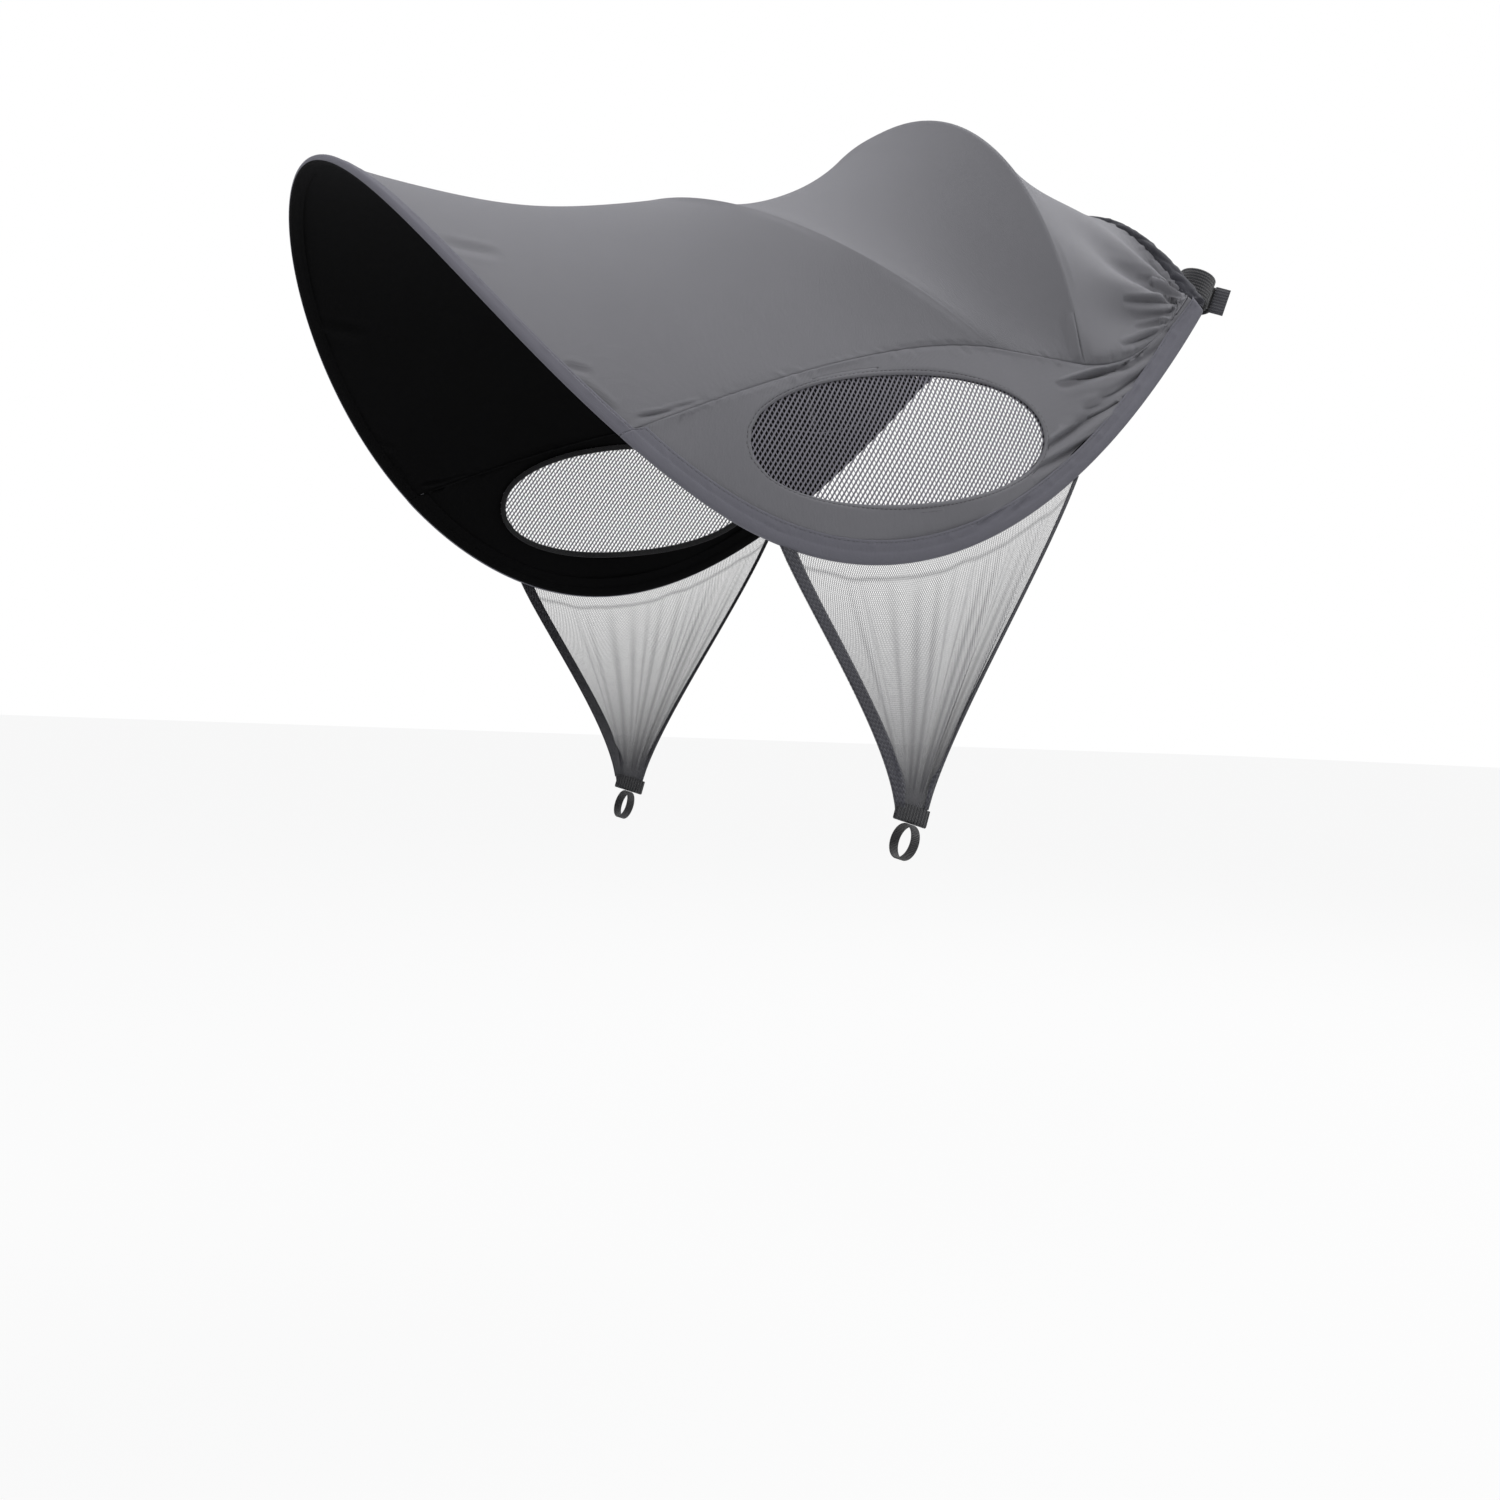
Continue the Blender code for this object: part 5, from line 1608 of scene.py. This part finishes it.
def tailPath():
    foot, step, top = (tailAngle - turn for turn in strap["tailRise"])
    halfway = (ringRadius + tailRadius) / 2
    rise = np.concatenate([roundTube(ringRadius, foot), roundTube(halfway, step)])
    wrap = roundTube(tailRadius, np.linspace(top, strap["patchEnd"] + strap["patchInset"], 16))
    angle = math.radians(strap["tabAngle"])
    way = tubeOut * math.cos(angle) + tubeBack * math.sin(angle)
    tab = wrap[-1] + way * np.linspace(0, strap["tabLength"], 6)[1:, None]
    return np.concatenate([rise, wrap, tab])


def makeStraps():
    ring = roundTube(ringRadius, np.linspace(strap["start"], strap["end"], 90))
    loops = roundTube(loopRadius, np.linspace(strap["patchStart"], strap["patchEnd"], 16))
    hooks = roundTube(hookRadius, np.linspace(strap["patchStart"],
                                              strap["patchEnd"] + strap["patchInset"], 14))
    tail = atShares(tailPath(), np.linspace(0, 1, 50))
    wide = flatProfile(strap["width"], strap["thickness"])
    patch = flatProfile(strap["patchWidth"], strap["patch"])
    for name, hand in sides:
        parts = (
            ("cornerStrap", ring, wide, webbing, "corner_strap_", "webbing", "rear"),
            ("loopPatch", loops, patch, loopFelt, "loop_patch_", "loop_fastener", "rear"),
            ("hookPatch", hooks, patch, hookRows, "hook_patch_", "hook_fastener", "tail_" + name),
            ("strapTail", tail, wide, strapWebbing, "strap_tail_", "webbing", "tail_" + name),
        )
        for title, path, profile, finish, node, slotName, body in parts:
            outward = onSide(fromTube(path), hand)
            item = sweep(title + "." + name, onSide(path, hand), outward, profile, [finish])
            standFor(item, node + name, body)


makeStraps()
print("straps made")

# mesh wings that hang below the bands

wing = {
    "front": -0.420,
    "rear": -0.150,
    "footFront": (-0.313, -0.424),
    "footRear": (-0.287, -0.431),
    "frontHandles": ((0.024, -0.045), (-0.006, 0.055)),
    "rearHandles": ((-0.035, -0.085), (0.006, 0.055)),
    "drop": 0.0031,
    "columns": 96,
    "rows": 110,
    "planeSpots": 19,
    "foldHeight": 0.005,
    "foldEdge": 0.08,
    "folds": ((0.20, 0.025, 0.5), (0.36, 0.05, -0.6), (0.50, 0.03, 0.7), (0.63, 0.03, -0.8),
              (0.72, 0.022, 1.0), (0.80, 0.03, -0.7), (0.89, 0.02, 0.9)),
    "foldLine": 0.055,
    "foldLineWidth": 0.008,
    "foldLineMark": 0.42,
    "gathered": 0.60,
    "hemWidth": 0.014,
    "hemShare": 0.3,
    "bindingWidth": 0.007,
    "bindingShare": 0.15,
    "flatHeight": 0.0143,
    "sheer": 0.0008,
    "stripGap": 0.0004,
    "down": (0.0, 0.275, -0.961),
    "chord": (0.243, -0.420, -0.2307),
    "turnFrom": 0.022,
    "turnTo": 0.090,
    "tabHeight": 0.011,
    "tabOverhang": 0.0012,
    "tabDrop": 0.0006,
    "loop": 0.025,
    "loopBand": 0.0012,
    "loopWidth": 0.008,
}


def wingEdges(count):
    ahead = rim[:, 1] > hood["seamStart"]
    first = np.interp(wing["front"], rim[ahead, 1], rimLengths[ahead])
    last = np.interp(wing["rear"], rim[ahead, 1], rimLengths[ahead])
    lengths = np.linspace(first, last, count)
    line = pointsAt(rim, lengths)
    u = (lengths - startLength) / (rimLengths[-1] - startLength)
    rise = unit(sideSurface(u, side["edge"] / columnOf(sideTall, u)) - columnOf(sideFeet, u))
    return line, line - rise * wing["drop"]


def wingSide(top, handles, foot, levels):
    first, last = (np.array([0.0, *handle]) for handle in handles)
    return atShares(bezier(top, top + first, foot + last, foot), levels)


def wingGrid():
    top = wingEdges(curvePoints)[1]
    plane = wingEdges(wing["planeSpots"])[0][:, 0].mean()
    footFront = np.array([plane, *wing["footFront"]])
    footRear = np.array([plane, *wing["footRear"]])
    flatShare = wing["flatHeight"] / abs(footFront[2] - top[0][2])
    levels = np.linspace(0.0, 1.0 - flatShare, wing["rows"])
    levels = np.concatenate([levels, [1 - flatShare / 2, 1.0]])
    front = wingSide(top[0], wing["frontHandles"], footFront, levels)
    rear = wingSide(top[-1], wing["rearHandles"], footRear, levels)
    shares = np.linspace(0.0, 1.0, wing["columns"] + 1)
    ridges = np.zeros_like(shares)
    for spot, width, height in wing["folds"]:
        ridges += height * np.exp(-((shares - spot) / width) ** 2)
    ridges *= np.clip(np.minimum(shares, 1 - shares) / wing["foldEdge"], 0, 1)
    grid = []
    for level, fore, aft in zip(levels, front, rear):
        span = atShares(top, shares) * (1 - level)
        span = span + (footFront + (footRear - footFront) * shares[:, None]) * level
        ends = fore - span[0], aft - span[-1]
        span = span + (1 - shares)[:, None] * ends[0] + shares[:, None] * ends[1]
        calm = math.sin(math.pi * min(level / (1.0 - flatShare), 1.0) ** 1.15) ** 0.8
        span[:, 0] += wing["foldHeight"] * calm * ridges
        grid.append(span)
    grid = np.array(grid)
    return grid, np.linalg.norm(np.diff(grid, axis=1), axis=2).sum(axis=1), levels, shares


wingCloth, wingWidths, wingLevels, wingShares = wingGrid()
wingFoot = wingCloth[-1][[0, -1]]
footAlong = unit(wingFoot[1] - wingFoot[0])
footOut = np.array([1.0, 0.0, 0.0])
footRise = unit(np.cross(footOut, footAlong))
tabLow = wingFoot.mean(axis=0) - footRise * wing["tabDrop"]
tabInside = wing["sheer"] / 2 + cloth["gap"] + cloth["tape"] / 2


def rideWing(item, hand):
    # the line of the wing's fold, from start to end, is worked out but not used; the wing is baked
    # where it lies
    down, chord = np.array(wing["down"]), onSide(np.array(wing["chord"]), hand)
    start, end = chord + down * wing["turnFrom"], chord + down * wing["turnTo"]
    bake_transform(item)


def wingStrip(first, last, steps, width, share):
    # part of each row of the wing, laid just outside it
    rows = []
    for row in wingCloth[:-1]:
        total = lengthsAlong(row)[-1]
        wide = min(width, share * total)
        reach = np.linspace(0.0, wide, steps) if first else np.linspace(total - wide, total, steps)
        rows.append(pointsAt(row, reach))
    grid = np.array(rows)
    return grid + outwardNormals(grid) * (wing["sheer"] + wing["stripGap"])


def wingMarks():
    # the net lies closer the more it is gathered, and doubles where it folds over
    level, share = wingLevels[:, None], wingShares[None]
    gather = 1 - wing["gathered"] ** (wingWidths[0] / wingWidths - 1)[:, None]
    folded = np.zeros((len(wingLevels), len(wingShares)))
    for spot, width, height in wing["folds"]:
        for hand in (-1, 1):
            aside = (share - spot + hand * width * 0.9) / (width * 0.35)
            folded += abs(height) * np.exp(-aside ** 2)
    folded = folded * 0.5 * np.clip(level * 3, 0, 1)
    line = wing["foldLine"] + 0.006 * ripple(share * 6, 1.4)
    doubled = np.exp(-((level - line) / wing["foldLineWidth"]) ** 2)
    folded = np.maximum(folded, wing["foldLineMark"] * doubled)
    mark = 1 - (1 - gather) * (1 - np.clip(folded, 0, 0.9))
    across = (share - 0.5) * wingWidths[0] + 0 * level
    down = lengthsAlong(wingCloth[:, len(wingShares) // 2])[:, None] + 0 * share
    return mark, np.stack([across, down], axis=-1)


def makeWings():
    gather, flat = wingMarks()
    frontHem = wingStrip(True, False, 7, wing["hemWidth"], wing["hemShare"])
    rearBinding = wingStrip(False, True, 5, wing["bindingWidth"], wing["bindingShare"])
    for name, hand in sides:
        item = makeSheet("wingMesh." + name, onSide(wingCloth, hand), [sheerMesh], 0.0,
                         marks={"gather": gather}, flat=flat)
        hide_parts("mesh_wing_" + name)
        rideWing(item, hand)
        areaOf(wingCloth)
        for title, grid, node in (("wingFrontHem", frontHem, "wing_front_hem_"),
                                  ("wingRearBinding", rearBinding, "wing_rear_binding_")):
            # the inner face of each strip is near-black: painted shade
            strip = makeSheet(title + "." + name, onSide(grid, hand), [wingHemWeave, liningAndShadeCloth],
                              wing["sheer"], 1)
            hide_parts(node + name)
            rideWing(strip, hand)
        makeWingTab(name, hand)
        makeWingLoop(name, hand)


def makeWingTab(name, hand):
    # webbing folded under the foot of the wing
    top = tabLow + footRise * (wing["tabHeight"] + wing["tabDrop"])
    turn = np.radians(np.linspace(0.0, 180.0, 9))[:, None]
    bend = tabLow + (footOut * np.cos(turn) - footRise * np.sin(turn)) * tabInside
    down = top + footOut * tabInside + (tabLow - top) * np.linspace(0, 1, 8)[:-1, None]
    up = tabLow - footOut * tabInside + (top - tabLow) * np.linspace(0, 1, 8)[1:, None]
    path = np.concatenate([down, bend, up])
    outward = path - np.clip((path - tabLow) @ footRise, 0, None)[:, None] * footRise - tabLow
    width = np.linalg.norm(wingFoot[1] - wingFoot[0]) + 2 * wing["tabOverhang"]
    item = sweep("wingTab." + name, onSide(path, hand), onSide(outward, hand),
                 flatProfile(width, cloth["tape"]), [webbing])
    standFor(item, "wing_tab_" + name, "wing_" + name)


def makeWingLoop(name, hand):
    radius = (wing["loop"] + wing["loopBand"]) / 2
    under = tabInside + cloth["tape"] / 2 + cloth["gap"] + wing["loopBand"] / 2
    middle = tabLow - footRise * (under + radius)
    turn = np.linspace(0.0, 2 * math.pi, 72, endpoint=False)[:, None]
    out = footOut * np.cos(turn) + footRise * np.sin(turn)
    item = sweep("wingLoop." + name, onSide(middle + out * radius, hand), onSide(out, hand),
                 flatProfile(wing["loopWidth"], wing["loopBand"]), [elasticBand], loop=True)
    standFor(item, "wing_loop_" + name, "loop_" + name)


makeWings()
print("wings made")

# the bows and their caps keep the frame's shapes
for node in ("mid_bow", "rear_bow"):
    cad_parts[node].material_slots[0].material = springSteel
    for name, hand in sides:
        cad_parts[node + "_tip_" + name].material_slots[0].material = tipPlastic

# floor, light and camera

stage = {"floor": -0.86, "size": 60.0, "paper": (0.70, 0.70, 0.70), "grain": (0.66, 0.66, 0.66),
         "shown": 0.90, "sky": 0.45}


def makeStage():
    finish = Finish("paleFloor", {"Roughness": 0.9, "Specular IOR Level": 0.1})
    solid = solidPlace(finish)
    grain = noiseAt(finish, solid, 3.0, 3.0)
    base = mixTones(finish, grain * 0.3, tone(stage["paper"]), tone(stage["grain"]))
    finish.feed("Base Color", base)
    seen = finish.add("ShaderNodeLightPath", None, None, "Is Camera Ray")
    pale = finish.add("ShaderNodeEmission", None, {"Color": (1.0, 1.0, 1.0, 1.0), "Strength": 1.0})
    lit = Value(finish, finish.shader.outputs[0])
    mixed = finish.add("ShaderNodeMixShader", None, {0: seen * stage["shown"], 1: lit, 2: pale})
    finish.join(finish.tree.nodes["Material Output"].inputs["Surface"], mixed)
    mesh = bpy.data.meshes.new("paleFloor")
    reach = stage["size"]
    turns = ((-reach, -reach), (reach, -reach), (reach, reach), (-reach, reach))
    mesh.from_pydata([(x, y, stage["floor"]) for x, y in turns], [], [(0, 1, 2, 3)])
    makePiece("paleFloor", mesh, [finish.material])


def makeSky():
    world = bpy.data.worlds.new("studio")
    bpy.context.scene.world = world
    world.use_nodes = True
    nodes, links = world.node_tree.nodes, world.node_tree.links
    shown = nodes["Background"]
    shown.inputs["Color"].default_value = (1.0, 1.0, 1.0, 1.0)
    shown.inputs["Strength"].default_value = 1.0
    fill = nodes.new("ShaderNodeBackground")
    fill.inputs["Color"].default_value = (0.96, 0.97, 1.0, 1.0)
    fill.inputs["Strength"].default_value = stage["sky"]
    path = nodes.new("ShaderNodeLightPath")
    seen = path.outputs["Is Camera Ray"]
    for kind in ("Is Glossy Ray", "Is Transmission Ray"):
        either = nodes.new("ShaderNodeMath")
        either.operation = "MAXIMUM"
        links.new(seen, either.inputs[0])
        links.new(path.outputs[kind], either.inputs[1])
        seen = either.outputs[0]
    mix = nodes.new("ShaderNodeMixShader")
    links.new(seen, mix.inputs[0])
    links.new(fill.outputs[0], mix.inputs[1])
    links.new(shown.outputs[0], mix.inputs[2])
    links.new(mix.outputs[0], nodes["World Output"].inputs["Surface"])


def makeLamp(name, place, aim, size, power):
    data = bpy.data.lights.new(name, "AREA")
    data.shape = "SQUARE"
    data.size = size
    data.energy = power
    lamp = bpy.data.objects.new(name, data)
    bpy.context.scene.collection.objects.link(lamp)
    lamp.location = place
    lamp.rotation_euler = (Vector(aim) - Vector(place)).to_track_quat("-Z", "Y").to_euler()


def makeCamera():
    right, up, ahead = viewAxes()
    data = bpy.data.cameras.new("photoCamera")
    data.sensor_width = shot["sensor"]
    data.lens = shot["sensor"] * shot["focal"] / shot["pixels"]
    camera = bpy.data.objects.new("photoCamera", data)
    bpy.context.scene.collection.objects.link(camera)
    turned = Matrix((right, up, -ahead)).transposed().to_4x4()
    camera.matrix_world = Matrix.Translation(shot["place"]) @ turned
    bpy.context.scene.camera = camera


makeStage()
makeSky()
makeLamp("keyLamp", (-0.35, 1.65, 2.35), (0.0, -0.3, -0.05), 2.4, 84.0)
makeLamp("fillLamp", (1.5, -2.0, 1.9), (0.0, -0.35, -0.05), 1.6, 34.0)
makeCamera()
bpy.context.scene.view_settings.view_transform = "Standard"
print("stage, light and camera made")
